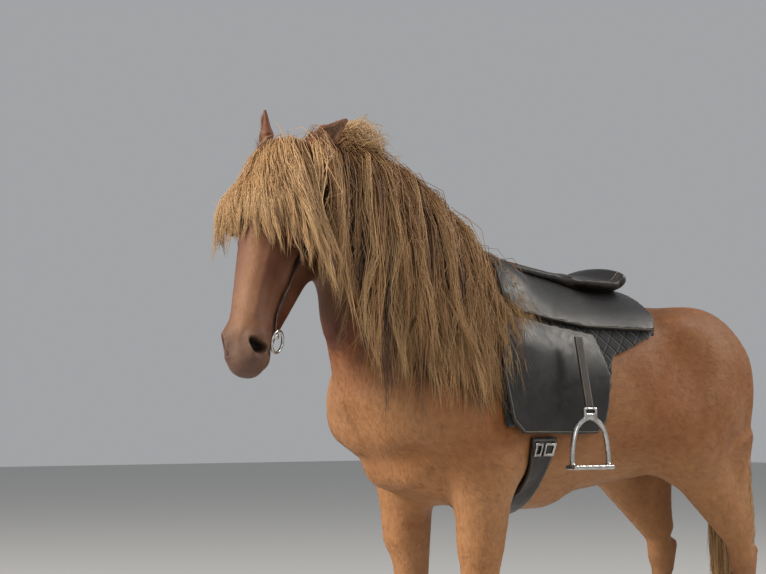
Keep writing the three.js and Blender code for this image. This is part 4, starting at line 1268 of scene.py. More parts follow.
@dataclass
class Skin:
    """The horse's skin: one smooth mesh inside the solids by the coat's depth."""

    finishes: Finishes
    voxel: float = 0.0112
    depth: float = 4.0
    overlap: float = 0.0012  # how far the solids are swollen so that they join
    lowest: float = 52.0  # where the skin ends inside the hooves
    nodes: tuple[str, ...] = (
        "trunk",
        "neck",
        "head",
        *(f"leg_{leg.name}_{part}" for leg in LEGS for part in ("upper", "lower")),
    )

    def build(self) -> Piece:
        """Makes the skin from copies of the flesh solids."""
        parts = [copy_of(node, f"part_{node}") for node in self.nodes]
        for part in parts:
            swollen(part, self.overlap)
        skin = joined(parts)
        skin.name = "skin"
        skin.data.name = "skin"
        remeshed(skin, self.voxel)
        biggest_shell(skin)
        self.fit(skin, 6)
        p = to_drawing(vertices_of(skin))
        q = HEAD.local(p)
        subdivided_where(skin, (p[:, 0] > 790) & (q[:, 0] > -60))
        self.fit(skin, 3)
        q = HEAD.local(to_drawing(vertices_of(skin)))
        fine = (q[:, 0] > 430) & (q[:, 2] < 40)
        for side in Side:
            fine |= np.linalg.norm(q - on_side([EYE_AT], side.value)[0], axis=1) < 52
        subdivided_where(skin, fine & (np.abs(q[:, 1]) < 150))
        self.fit(skin, 2)
        p = self.features(skin, to_drawing(vertices_of(skin)))
        set_vertices(skin, to_row(p))
        smooth_shaded(skin)
        point_colour(skin, "marking", COLOURS.at(p))
        finished(skin, self.finishes.get(Finish.COAT), "coat", *self.nodes)
        return skin

    def fit(self, skin: Piece, rounds: int) -> None:
        """Evens the mesh out and brings it back onto the flesh."""
        edges = edges_of(skin)
        p = relaxed(to_drawing(vertices_of(skin)), edges, rounds)
        p = FLESH.settle(p, -self.depth)
        p[:, 2] = np.maximum(p[:, 2], self.lowest)
        set_vertices(skin, to_row(p))

    def features(self, skin: Piece, p: Array) -> Array:
        """Carves folds, veins, nostrils, mouth and lids.

        Args:
            skin: the mesh.
            p: its vertices, in drawing mm.

        Returns:
            The moved vertices.
        """
        out = normals_of(skin)
        q = HEAD.local(p)
        on_head = (p[:, 0] > 800) & (q[:, 0] > 100)
        move = np.zeros(len(p))
        for side in Side:
            for mark in FACE_MARKS:
                move += mark.height(q, side.value) * on_head
        for mark in NECK_FOLDS:
            move += mark.height(p, 1) * (p[:, 1] > 0)
        breast = np.exp(-((p[:, 1] / 9) ** 2)) * smoothstep(660, 710, p[:, 0]) * (p[:, 2] < 1120)
        move -= 7 * breast * smoothstep(820, 900, p[:, 2])
        for mark in BODY_MARKS:
            move += mark.height(p, 1) + mark.height(p, -1)
        p = p + out * move[:, None]
        for side in Side:
            p = self.nostril(p, side)
            p = self.socket(p, side)
        q = HEAD.local(p)
        near = np.minimum(*(np.linalg.norm(q - on_side([NOSTRIL_AT], s.value)[0], axis=1) for s in Side))
        return relaxed(p, edges_of(skin), 3, 0.5 * smoothstep(48, 34, near))

    @staticmethod
    def nostril(p: Array, side: Side) -> Array:
        """Pushes the nostril's opening in, as a comma leaning back.

        Args:
            p: vertices in drawing mm.
            side: whose it is.

        Returns:
            The moved vertices.
        """
        a, b, out, r = nostril_place(HEAD.local(p), side)
        far = np.hypot(a / NOSTRIL_HALF[0], b / NOSTRIL_HALF[1])
        inside = 1 - far**2
        near = (r @ out > -24) & (np.linalg.norm(r, axis=1) < 42)
        push = smoothstep(-0.1, 0.6, inside) * 26 * near
        rim = 3.2 * np.exp(-(((far - 1.22) / 0.2) ** 2)) * near
        return p + HEAD.way(out)[None] * (rim - push)[:, None]

    @staticmethod
    def socket(p: Array, side: Side) -> Array:
        """Pushes the skin in behind the eyelids."""
        eye = EyePlace(side)
        r = p - eye.at
        e = np.hypot(r @ eye.along / 25, r @ eye.up / 15)
        push = smoothstep(1.0, 0.72, e) * 13 * (r @ eye.out > 0)
        return p - eye.out[None] * push[:, None]


@dataclass(frozen=True)
class EyePlace:
    """Where an eye is, and which way it looks."""

    side: Side

    @property
    def at(self) -> Array:
        """The eyeball's middle."""
        return HEAD.place(on_side([EYE_AT], self.side.value)[0])

    @property
    def out(self) -> Array:
        """The way the eye looks."""
        return HEAD.way(unit(vec(0.04, self.side.value, 0.16)))

    @property
    def along(self) -> Array:
        """The way from the eye's rear corner to its front one."""
        way = HEAD.way(unit(vec(1, 0, -0.2)))
        return unit(way - self.out * float(way @ self.out))

    @property
    def up(self) -> Array:
        """The way to the brow."""
        return np.cross(self.out, self.along) * -self.side.value


@dataclass
class Ears:
    """Both ears, as hollow leaves."""

    finishes: Finishes
    voxel: float = 0.0024
    back: Screen = (106, 56, 36)
    inside: Screen = (66, 40, 30)
    hairs: int = 420

    def shape(self, side: Side) -> Flesh:
        """One ear's leaf and its hollow."""
        if side is Side.LEFT:
            base, tip, front = vec(905, 84, 1606), vec(815, 98, 1688), unit(vec(0.1, 0.9, 0.35))
        else:
            base, tip, front = vec(962, -32, 1600), vec(964, -40, 1716), unit(vec(0.85, -0.35, 0))
        middle = base + (tip - base) * 0.42
        across = unit(np.cross(unit(tip - base), front))
        leaf = [
            Mass(base, middle, (20, 17), (24, 29), 14, across),
            Mass(middle, tip, (17, 4), (29, 5), 10, across),
        ]
        low, high = (base + (tip - base) * share + front * 15 for share in (0.2, 0.9))
        return Flesh(leaf, [Mass(low, high, (13, 4), (17, 3), 4, across)])

    def build(self) -> None:
        """Makes both ears from their solids."""
        for side in Side:
            node = f"ear_{side.word}"
            ear = copy_of(node, node + "_skin")
            remeshed(ear, self.voxel)
            shape = self.shape(side)
            p = to_drawing(vertices_of(ear))
            for rounds in (8, 4, 3, 2):
                p = shape.settle(relaxed(p, edges_of(ear), rounds), -0.6, 2)
            p = relaxed(p, edges_of(ear), 3)
            set_vertices(ear, to_row(p))
            smooth_shaded(ear)
            inside = smoothstep(6, 1, shape.hollows[0].distance(p))
            colour = np.repeat(srgb(*self.back)[None], len(p), 0)
            point_colour(ear, "marking", CoatColours.mix(colour, srgb(*self.inside), inside * 0.7))
            finished(ear, self.finishes.get(Finish.COAT), "face_coat", node)
            self.fringe(side, shape)

    def fringe(self, side: Side, shape: Flesh) -> None:
        """Fine hair in and round an ear."""
        rng = np.random.default_rng(21 + side.value)
        count = self.hairs
        hollow = shape.hollows[0]
        base, tip = shape.masses[0].start, shape.masses[1].end
        way = unit(tip - base)
        front = unit(np.cross(way, shape.masses[0].across))
        front = front * np.sign(front @ (hollow.start - base) + 1e-9)
        across = shape.masses[0].across
        t = rng.uniform(0.0, 0.85, count)
        spread = rng.normal(0, 1, count).clip(-1.6, 1.6)
        root = base + (tip - base) * t[:, None] + across * (spread * 9 * (1 - t * 0.7))[:, None]
        root = shape.settle(root + front * 6, -0.8, 4)
        length = rng.uniform(10, 26, count) * (1.15 - t)
        lie = unit(way * 0.9 + front * rng.uniform(0.1, 0.6, (count, 1)) + across * spread[:, None] * 0.25)
        s = np.linspace(0, 1, 6)[None, :, None]
        paths = root[:, None] + lie[:, None] * length[:, None, None] * s + way * length[:, None, None] * 0.3 * s * s
        shade = np.repeat(srgb(150, 108, 74)[None], count, 0) * rng.uniform(0.5, 1.2, (count, 1))
        out = np.repeat(front[None], count, 0)
        made = Locks(f"ear_fringe_{side.word}", paths, rng.uniform(0.3, 0.6, count), shade, shade, out)
        made.build(self.finishes.get(Finish.LOCKS), "face_coat")


@dataclass
class Eyes:
    """Both eyeballs with their lids."""

    finishes: Finishes

    def build(self) -> None:
        """Makes each eyeball with its iris and wide pupil, and the lids round it."""
        for side in Side:
            eye = EyePlace(side)
            bpy.ops.object.select_all(action="DESELECT")
            bpy.ops.mesh.primitive_uv_sphere_add(segments=64, ring_count=40, radius=EYE_RADIUS / 1000 - 0.0004)
            ball = bpy.context.active_object
            ball.name = f"eyeball_{side.word}"
            p = vertices_of(ball) * 1000
            a, b, o = p @ eye.along, p @ eye.up, p @ eye.out
            front = o > 0
            far = np.hypot(a, b)
            bulge = np.where(front, 1.5 * np.maximum(1 - far / 15, 0) ** 0.7, 0)
            p = p + unit(p) * bulge[:, None]
            colour = np.repeat(srgb(70, 48, 38)[None], len(p), 0)
            streak = 0.8 + 0.3 * np.sin(np.arctan2(b, a) * 23) * np.sin(np.arctan2(b, a) * 7 + 1)
            iris = front & (far < 16.2)
            colour[iris] = (srgb(74, 40, 18)[None] * streak[:, None] * smoothstep(17, 12, far)[:, None])[iris]
            colour[front & ((a / 9.4) ** 2 + (b / 5.0) ** 2 < 1)] = srgb(5, 5, 7)
            set_vertices(ball, to_row(p + eye.at))
            smooth_shaded(ball)
            point_colour(ball, "marking", colour)
            finished(ball, self.finishes.get(Finish.EYE), "eye", f"eye_{side.word}")
            self.lids(eye)

    def lids(self, eye: EyePlace) -> None:
        """Makes the two lids as one ring of skin from the eye's edge to the face.

        Args:
            eye: the eye they close round.
        """
        turn = np.linspace(0, 2 * np.pi, 96, endpoint=False)
        rows = []
        rings = (
            (0.86, -1.5, -9.0), (0.97, 0.3, -9.0), (1.0, 1.5, -6.0), (1.08, 2.4, -5.0),
            (1.24, 3.0, -4.2), (1.42, 3.0, -3.6), (1.54, 2.0, -3.6), (1.68, 2.6, -2.6),
            (1.95, 1.8, -2.4), (2.3, 0.0, -3.2), (2.7, -3.0, -6.0), (2.3, -6.0, -9.0),
            (1.2, -5.0, -11.0),
        )
        for scale, rise, level in rings:
            tall = np.where(np.sin(turn) > 0, 10.8, 8.4)
            a = 18.5 * (1 + 0.55 * (scale - 1)) * np.cos(turn)
            blunt = 1.6 - 0.35 * min(scale - 0.86, 1.6)
            b = tall * scale * np.sign(np.sin(turn)) * np.abs(np.sin(turn)) ** blunt + a * 0.06
            flat = eye.at + a[:, None] * eye.along + b[:, None] * eye.up
            on_face = FLESH.settle(flat + eye.out * 16, level, 5)
            high_face = (on_face - flat) @ eye.out
            radius = EYE_RADIUS + rise
            high_ball = np.sqrt(np.maximum(radius**2 - a * a - b * b, 0))
            rows.append(flat + np.maximum(high_ball, high_face)[:, None] * eye.out)
        points = np.concatenate(rows)
        n = len(turn)
        quads = bands(len(rows), n, closed=True)
        if eye.side is Side.RIGHT:
            quads = quads[:, ::-1]
        obj = new_mesh(f"eyelids_{eye.side.word}", to_row(points), quads)
        smooth_shaded(obj)
        share = np.repeat(smoothstep(1.5, 1.05, np.array([r[0] for r in rings])), n)
        point_colour(obj, "marking", CoatColours.mix(COLOURS.at(points), srgb(22, 14, 12), share))
        finished(obj, self.finishes.get(Finish.COAT), "face_coat")


@dataclass
class Hooves:
    """The four hooves."""

    finishes: Finishes
    toe: float = 64.0
    half: float = 57.0
    height: float = 76.0
    lean: float = 0.4
    slant: float = 0.2

    def build(self) -> None:
        """Makes each hoof as rings from the sole up to the coronet."""
        turn = np.linspace(0, 2 * np.pi, 64, endpoint=False)
        levels = [0.0, 0.03, 0.1, 0.22, 0.34, 0.46, 0.58, 0.7, 0.82, 0.92, 0.97, 0.99]
        for leg in LEGS:
            hoof = HORSE.joints(leg.side, leg.fore, leg.step)["hoof"]
            rings = []
            for level in levels:
                r = (1 - 0.2 * level) * (1 - 0.02 * math.exp(-level / 0.015)) * (0.985 if level > 0.95 else 1.0)
                r *= 1 + 0.004 * math.sin(level * 46)
                back = 1 - 0.05 * np.maximum(-np.cos(turn), 0) ** 2
                x = self.toe * r * np.cos(turn) * back
                y = self.half * r * np.sin(turn)
                z = level * self.height * (1 + self.slant * x / self.toe)
                rings.append(np.stack([x - level * self.height * self.lean, y, z], 1))
            top = rings[-1] * [0.8, 0.8, 1] + [-0.2 * self.height * self.lean, 0, 1.5]
            sole = rings[0] * [0.82, 0.82, 1]
            rings = [sole, *rings, top]
            points = np.concatenate([*rings, rings[0].mean(0)[None], rings[-1].mean(0)[None]])
            points = points + [hoof[0] + 22, hoof[1], 0]
            points[:, 2] = np.maximum(points[:, 2], 0)
            n, rows = len(turn), len(rings)
            here = np.arange(n)
            following = (here + 1) % n
            hubs = (rows * n, rows * n + 1)
            last = (rows - 1) * n
            bottom = np.stack([following, here, np.full(n, hubs[0])], 1)
            top = np.stack([last + here, last + following, np.full(n, hubs[1])], 1)
            flat = np.concatenate([bands(rows, n).ravel(), bottom.ravel(), top.ravel()])
            sizes = np.concatenate([np.full(n * (rows - 1), 4), np.full(2 * n, 3)])
            obj = new_mesh(f"horn_{leg.name}", to_row(points), flat, sizes)
            smooth_shaded(obj, 40)
            finished(obj, self.finishes.get(Finish.HORN), "hoof", f"hoof_{leg.name}")


# Hair


@dataclass
class Locks:
    """Thin solid locks of hair, all in one mesh."""

    name: str
    paths: Array  # locks, points along each, xyz in drawing mm
    width: Array  # each lock's half-width, in mm
    colour: Array  # each lock's colour
    tip: Array  # each lock's colour at its tip
    out: Array  # the way out of the coat at each lock
    taper: float = 0.75

    def build(self, material: Material, slot: str, *nodes: str) -> None:
        """Makes the mesh: three sides for each lock, closed at both ends.

        Args:
            material: the locks' finish.
            slot: the record's material slot.
            *nodes: the solids that they stand for.
        """
        count, steps, _ = self.paths.shape
        way = unit(np.gradient(self.paths, axis=1))
        side = unit(np.cross(way, np.broadcast_to(self.out[:, None], way.shape) + 1e-4))
        face = np.cross(side, way)
        t = np.linspace(0, 1, steps)
        slim = (1 - t**2.2 * self.taper) * np.minimum(1, 0.55 + t * 3)
        slim[-1] = 0.08
        w = self.width[:, None, None] * slim[None, :, None]
        ring = np.stack([self.paths + side * w, self.paths - side * w, self.paths + face * w * 0.9], 2)
        points = ring.reshape(-1, 3)
        base = (np.arange(count) * steps * 3)[:, None]
        quads = []
        for k in range(steps - 1):
            for c in range(3):
                d = (c + 1) % 3
                quads.append(base + np.array([[3 * k + c, 3 * k + d, 3 * k + 3 + d, 3 * k + 3 + c]]))
        quads = np.stack(quads, 1).reshape(-1, 4)
        last = 3 * (steps - 1)
        caps = np.concatenate([base + [[2, 1, 0]], base + [[last, last + 1, last + 2]]])
        flat = np.concatenate([quads.ravel(), caps.ravel()])
        sizes = np.concatenate([np.full(len(quads), 4), np.full(len(caps), 3)])
        obj = new_mesh(self.name, to_row(points), flat, sizes)
        smooth_shaded(obj)
        share = np.repeat(np.tile(t, count), 3)[:, None]
        along = np.repeat(self.colour, steps * 3, 0) * (1 - share) + np.repeat(self.tip, steps * 3, 0) * share
        point_colour(obj, "marking", along)
        self.unwrap(obj, steps)
        finished(obj, material, slot, *nodes)

    def unwrap(self, obj: Piece, steps: int) -> None:
        """Gives each lock a small patch at its root's place on the skin's map."""
        root = skin_map(self.paths[:, 0])
        corner = np.array([(0, 0), (1, 0), (0.5, 1)]) * 0.001
        t = np.linspace(0, 1, steps)[None, :, None, None] * np.array([0.0, 0.002])
        uv = root[:, None, None] + corner[None, None] + t
        root_map(obj, uv)


@dataclass
class Hairdresser:
    """Lays locks: guides fall and drape first, and each lock follows a guide."""

    rng: np.random.Generator

    def fall(
        self, root: Array, way: Array, length: Array, lift: Array, pull: Array, steps: int = 26, stiff: float = 0.72
    ) -> Array:
        """Lets guides fall from their roots and lie on the flesh.

        Args:
            root: where each guide starts, in drawing mm.
            way: the direction in which it starts.
            length: each guide's length.
            lift: how far each guide stays out of the flesh.
            pull: the direction in which each guide is drawn.
            steps: points along a guide.
            stiff: how much of its direction a guide keeps at each step.

        Returns:
            The guides' points.
        """
        p = root.copy()
        way = unit(way)
        path = [p.copy()]
        step = (length / (steps - 1))[:, None]
        for k in range(steps - 1):
            way = unit(way * stiff + pull * (1 - stiff))
            p = p + way * step
            high = lift * min(1.0, (k + 1) / 5)
            d = FLESH.distance(p) - high
            low = d < 0
            if low.any():
                p[low] -= FLESH.outward(p[low]) * np.clip(d[low], -14, 0)[:, None]
            way = unit(p - path[-1])
            path.append(p.copy())
        return np.stack(path, 1)

    def follow(
        self, guides: Array, count: int, spread: float, steps: int, wave: float, stray: float, close: float = 0.45
    ) -> tuple[Array, Array]:
        """Makes locks beside the guides.

        Args:
            guides: the guides' points.
            count: how many locks to make.
            spread: how far a lock starts from its guide.
            steps: points along a lock.
            wave: how far locks wave from side to side.
            stray: the share of locks that stand off.
            close: how near locks come to their guide at its end.

        Returns:
            The locks' points, and each one's guide.
        """
        rng = self.rng
        pick = rng.integers(0, len(guides), count)
        t = np.linspace(0, 1, steps)
        end = rng.uniform(0.78, 1.0, count)
        at = t[None] * end[:, None] * (guides.shape[1] - 1)
        low = np.clip(at.astype(int), 0, guides.shape[1] - 2)
        part = (at - low)[..., None]
        g = guides[pick[:, None], low] * (1 - part) + guides[pick[:, None], low + 1] * part
        phase = rng.uniform(0, 2 * np.pi, (len(guides), 1, 3))
        slow = rng.uniform(0.9, 2.2, (len(guides), 1, 1))
        along = t[None, :, None] * end[:, None, None]
        g = g + np.sin(along * slow[pick] * 2 * np.pi + phase[pick]) * wave * 1.1 * along
        offset = rng.normal(0, spread, (count, 1, 3)) * (1 - (1 - close) * t[None, :, None] ** 1.3)
        free = rng.random(count) < stray
        turn = rng.uniform(0, 2 * np.pi, (count, 1, 3))
        rate = rng.uniform(1.5, 4.0, (count, 1, 1))
        size = wave * rng.uniform(0.3, 1.0, (count, 1, 1)) * np.where(free, 3.0, 1.0)[:, None, None]
        sway = np.sin(t[None, :, None] * rate * 2 * np.pi + turn) * size * t[None, :, None] ** 0.7
        return g + offset * (1 + free[:, None, None] * 0.8) + sway, pick

    def out_of_flesh(self, paths: Array, least: float) -> Array:
        """Lifts locks that sank into the flesh."""
        flat = paths.reshape(-1, 3).copy()
        d = FLESH.distance(flat) - least
        low = d < 0
        flat[low] -= FLESH.outward(flat[low]) * d[low][:, None]
        return flat.reshape(paths.shape)


@dataclass
class LongHair:
    """Mane, forelock, tail and the tufts behind the feet."""

    finishes: Finishes
    seed: int = 11
    mane_guides: int = 190
    tail_end: float = 262.0  # above the ground, in mm
    feather_hairs: int = 260  # on each foot
    flaxen: Array = field(default_factory=lambda: srgb(214, 178, 128))
    straw: Array = field(default_factory=lambda: srgb(190, 146, 96))
    brown: Array = field(default_factory=lambda: srgb(112, 74, 44))
    dark: Array = field(default_factory=lambda: srgb(70, 46, 30))

    def __post_init__(self) -> None:
        """Starts the hairdresser."""
        self.rng = np.random.default_rng(self.seed)
        self.dresser = Hairdresser(self.rng)

    def shades(self, pick: Array, guides: int, light: float) -> tuple[Array, Array]:
        """Colours for locks, alike within a guide.

        Args:
            pick: each lock's guide.
            guides: how many guides there are.
            light: how many of them are pale, from 0 to 1.

        Returns:
            The locks' colours at their roots and at their tips.
        """
        rng = self.rng
        tone = np.clip(rng.beta(1.6, 1.6, guides)[pick] * 0.7 + rng.random(len(pick)) * 0.3 + (light - 0.5), 0, 1)
        knots = np.array([0, 0.3, 0.65, 1.0])
        table = np.stack([self.dark, self.brown, self.straw, self.flaxen])
        root = np.stack([np.interp(tone * 0.85, knots, table[:, k]) for k in range(3)], 1)
        tip = np.stack([np.interp(np.clip(tone * 1.1 + 0.06, 0, 1), knots, table[:, k]) for k in range(3)], 1)
        return root, tip

    def crest(self, t: Array) -> Array:
        """Points along the top of the neck, from the withers to behind the ears."""
        knots = np.array([0, 0.12, 0.45, 0.75, 1.0])
        line = np.array([[385, 0, 1390], [440, 0, 1396], [620, 2, 1520], [770, 8, 1590], [905, 18, 1616]])
        return np.stack([np.interp(t, knots, line[:, k]) for k in range(3)], 1)

    def hem(self, x: Array) -> Array:
        """How low the mane hangs under each place of the crest."""
        return np.interp(x, [385, 450, 540, 640, 740, 800, 905], [1210, 1010, 950, 955, 1040, 1120, 1240])

    def grown(
        self, name: str, locks: Array, pick: Array, guides: int, light: float, widths: tuple[float, float],
        out: Array, node: str = "",
    ) -> None:
        """Colours a bunch of locks and makes their mesh.

        Args:
            name: the piece's name.
            locks: the locks' points.
            pick: each lock's guide.
            guides: how many guides there are.
            light: how many of them are pale, from 0 to 1.
            widths: the least and the greatest half-width, in mm.
            out: the way out of the coat, for all or for each.
            node: the solid that the piece stands for, if any.
        """
        root, tip = self.shades(pick, guides, light)
        out = np.broadcast_to(out, (len(pick), 3))
        made = Locks(name, locks, self.rng.uniform(*widths, len(pick)), root, tip, out)
        made.build(self.finishes.get(Finish.LOCKS), "long_hair", *([node] if node else []))

    def mane(self) -> None:
        """The mane, in an under layer and two outer ones."""
        rng = self.rng
        layers = (
            ("mane_under", 0.2, 8, 3.0, 2300),
            ("mane_middle", 0.5, 20, 1.7, 3000),
            ("mane_outer", 0.72, 32, 1.2, 3800),
        )
        for n, (name, light, lift, width, count) in enumerate(layers):
            t = np.sort(rng.random(self.mane_guides)) * 0.985
            t = t[(t < 0.8) | (rng.random(self.mane_guides) < 0.3)]
            guides = len(t)
            beside = columns(rng.normal(0, 4, guides), rng.normal(2, 9, guides), 0)
            root = FLESH.settle(self.crest(t) + beside, -2)
            start = columns(
                rng.normal(-0.15, 0.16, guides),
                rng.uniform(0.35, 0.9, guides),
                rng.uniform(0.35, 0.8, guides) * (0.5 + 0.25 * n),
            )
            high = rng.uniform(0.55, 1.0, guides) * lift * np.interp(t, [0, 0.12, 1], [0.35, 0.8, 1.0])
            drop = root[:, 2] - self.hem(root[:, 0])
            length = drop * rng.uniform(0.86, 1.1, guides) + 70
            pull = columns(rng.normal(-0.02, 0.07, guides), 0.05, -1.0)
            paths = self.dresser.fall(root, start, length, high, pull)
            locks, pick = self.dresser.follow(paths, count, 8.5, 9, 7.0 + 3 * n, 0.05, 0.35)
            locks = self.dresser.out_of_flesh(locks, 1.5)
            widths = (0.6 * width, width)
            out = vec(0.25, 0.95, 0.1)
            self.grown(name, locks, pick, guides, light, widths, out, "mane" if n == 0 else "")

    def forelock(self) -> None:
        """The thick forelock over the brow and both eyes."""
        rng = self.rng
        layers = (("forelock_under", 0.4, 7, 2.2, 1900), ("forelock_outer", 0.85, 20, 1.2, 3600))
        for n, (name, light, lift, width, count) in enumerate(layers):
            guides = 130
            lean = rng.uniform(-1, 1, guides)
            spot = columns(rng.uniform(-44, 22, guides), lean * 34 + rng.normal(0, 8, guides), -14.0)
            root = FLESH.settle(HEAD.place(spot), -2)
            start = (HEAD.turn @ columns(0.9, lean * 0.5, 0.45 + 0.15 * n).T).T
            drift = np.interp(lean, [-1, -0.3, 1], [-0.04, 0.22, 0.34]) + rng.normal(0, 0.07, guides)
            pull = (HEAD.turn @ columns(1.0, drift, -0.4).T).T
            length = np.interp(lean, [-1, -0.4, 0.3, 0.8, 1], [302, 292, 305, 365, 400])
            length = length * rng.uniform(0.8, 1.05, guides)
            high = rng.uniform(0.4, 1.0, guides) * lift
            paths = self.dresser.fall(root, start, length, high, unit(pull), 24, 0.66)
            locks, pick = self.dresser.follow(paths, count, 6.5, 9, 5.0, 0.06, 0.2)
            locks = self.dresser.out_of_flesh(locks, 1.5)
            widths = (0.6 * width, width)
            out = HEAD.way(vec(0.1, 0.2, 1))
            self.grown(name, locks, pick, guides, light, widths, out, "forelock" if n == 0 else "")

    def poll_tuft(self) -> None:
        """The wind-blown hair over and behind the left ear."""
        rng = self.rng
        guides, count = 26, 520
        root = FLESH.settle(vec(838, 24, 1606) + rng.normal(0, 1, (guides, 3)) * [20, 10, 4], -2)
        start = columns(
            rng.normal(-0.5, 0.25, guides), rng.uniform(0.0, 0.5, guides), rng.uniform(0.9, 1.5, guides)
        )
        pull = columns(rng.normal(-0.8, 0.3, guides), rng.normal(0.3, 0.3, guides), -0.8)
        length = rng.uniform(110, 210, guides)
        paths = self.dresser.fall(root, start, length, np.full(guides, 16.0), unit(pull), 22, 0.88)
        locks, pick = self.dresser.follow(paths, count, 5.0, 10, 13.0, 0.3)
        locks = self.dresser.out_of_flesh(locks, 3)
        self.grown("poll_tuft", locks, pick, guides, 0.9, (0.7 * 1.3, 1.2 * 1.3), vec(0.2, 0.9, 0.3))

    def tail(self) -> None:
        """The full tail, down to the fetlocks."""
        rng = self.rng
        layers = (("tail_under", 0.3, 3.6, 1300), ("tail_outer", 0.7, 1.7, 2900))
        for n, (name, light, width, count) in enumerate(layers):
            guides, steps = 140, 22
            t = rng.random(guides) ** 1.5
            dock = columns(np.interp(t, [0, 1], [-640, -738]), 0, np.interp(t, [0, 1], [1216, 1105]))
            angle = rng.uniform(0, 2 * np.pi, guides)
            ring = columns(-np.cos(angle) * 0.9, np.sin(angle), np.cos(angle) * 0.4)
            root = dock + ring * np.interp(t, [0, 1], [22, 26])[:, None]
            path = [root]
            length = rng.uniform(0.86, 1.0, guides) * (root[:, 2] - self.tail_end)
            for k in range(1, steps):
                s = k / (steps - 1)
                z = root[:, 2] - s * length
                wide = np.interp(z, [255, 330, 620, 880, 1120, 1230], [22, 44, 74, 70, 46, 30])
                middle = np.interp(z, [255, 620, 880, 1120, 1230], [-744, -765, -758, -735, -650])
                swing = ring * (wide * (0.55 + 0.4 * n * rng.uniform(0.6, 1, guides)))[:, None]
                target = columns(middle + swing[:, 0] * 0.78, swing[:, 1], z)
                ease = min(1.0, s * 5)
                path.append(root * (1 - ease) + target * ease)
                path[-1][:, 2] = z
            locks, pick = self.dresser.follow(np.stack(path, 1), count, 6.0, 9, 6.0, 0.04, 0.6)
            locks[..., 2] = np.maximum(locks[..., 2], self.tail_end)
            widths = (0.6 * width, width)
            out = unit(ring[pick] + 1e-3)
            self.grown(name, locks, pick, guides, light, widths, out, "tail" if n == 0 else "")

    def feather(self) -> None:
        """Short tufts behind the fetlocks and round the coronets."""
        rng = self.rng
        paths, out = [], []
        for leg in LEGS:
            j = HORSE.joints(leg.side, leg.fore, leg.step)
            count = self.feather_hairs
            turn = rng.normal(np.pi, 0.75, count)
            high = rng.uniform(-36, 60, count)
            ring = columns(np.cos(turn), np.sin(turn), 0)
            root = FLESH.settle(j["fetlock"] + ring * 36 + columns(0, 0, high), -5)
            length = rng.uniform(26, 62, count) * np.interp(np.abs(turn - np.pi), [0, 1.5], [1.0, 0.5])
            length = length[:, None, None]
            t = np.linspace(0, 1, 7)[None, :, None]
            bend = unit(ring * 0.55 + vec(-0.25, 0, -1.0))
            down = root[:, None] + bend[:, None] * length * t
            paths.append(down + ring[:, None] * length * 0.18 * np.sin(t * 2.2))
            out.append(ring)
        locks = np.concatenate(paths)
        pick = rng.integers(0, 40, len(locks))
        self.grown("feather", locks, pick, 40, 0.55, (0.8, 1.5), np.concatenate(out))


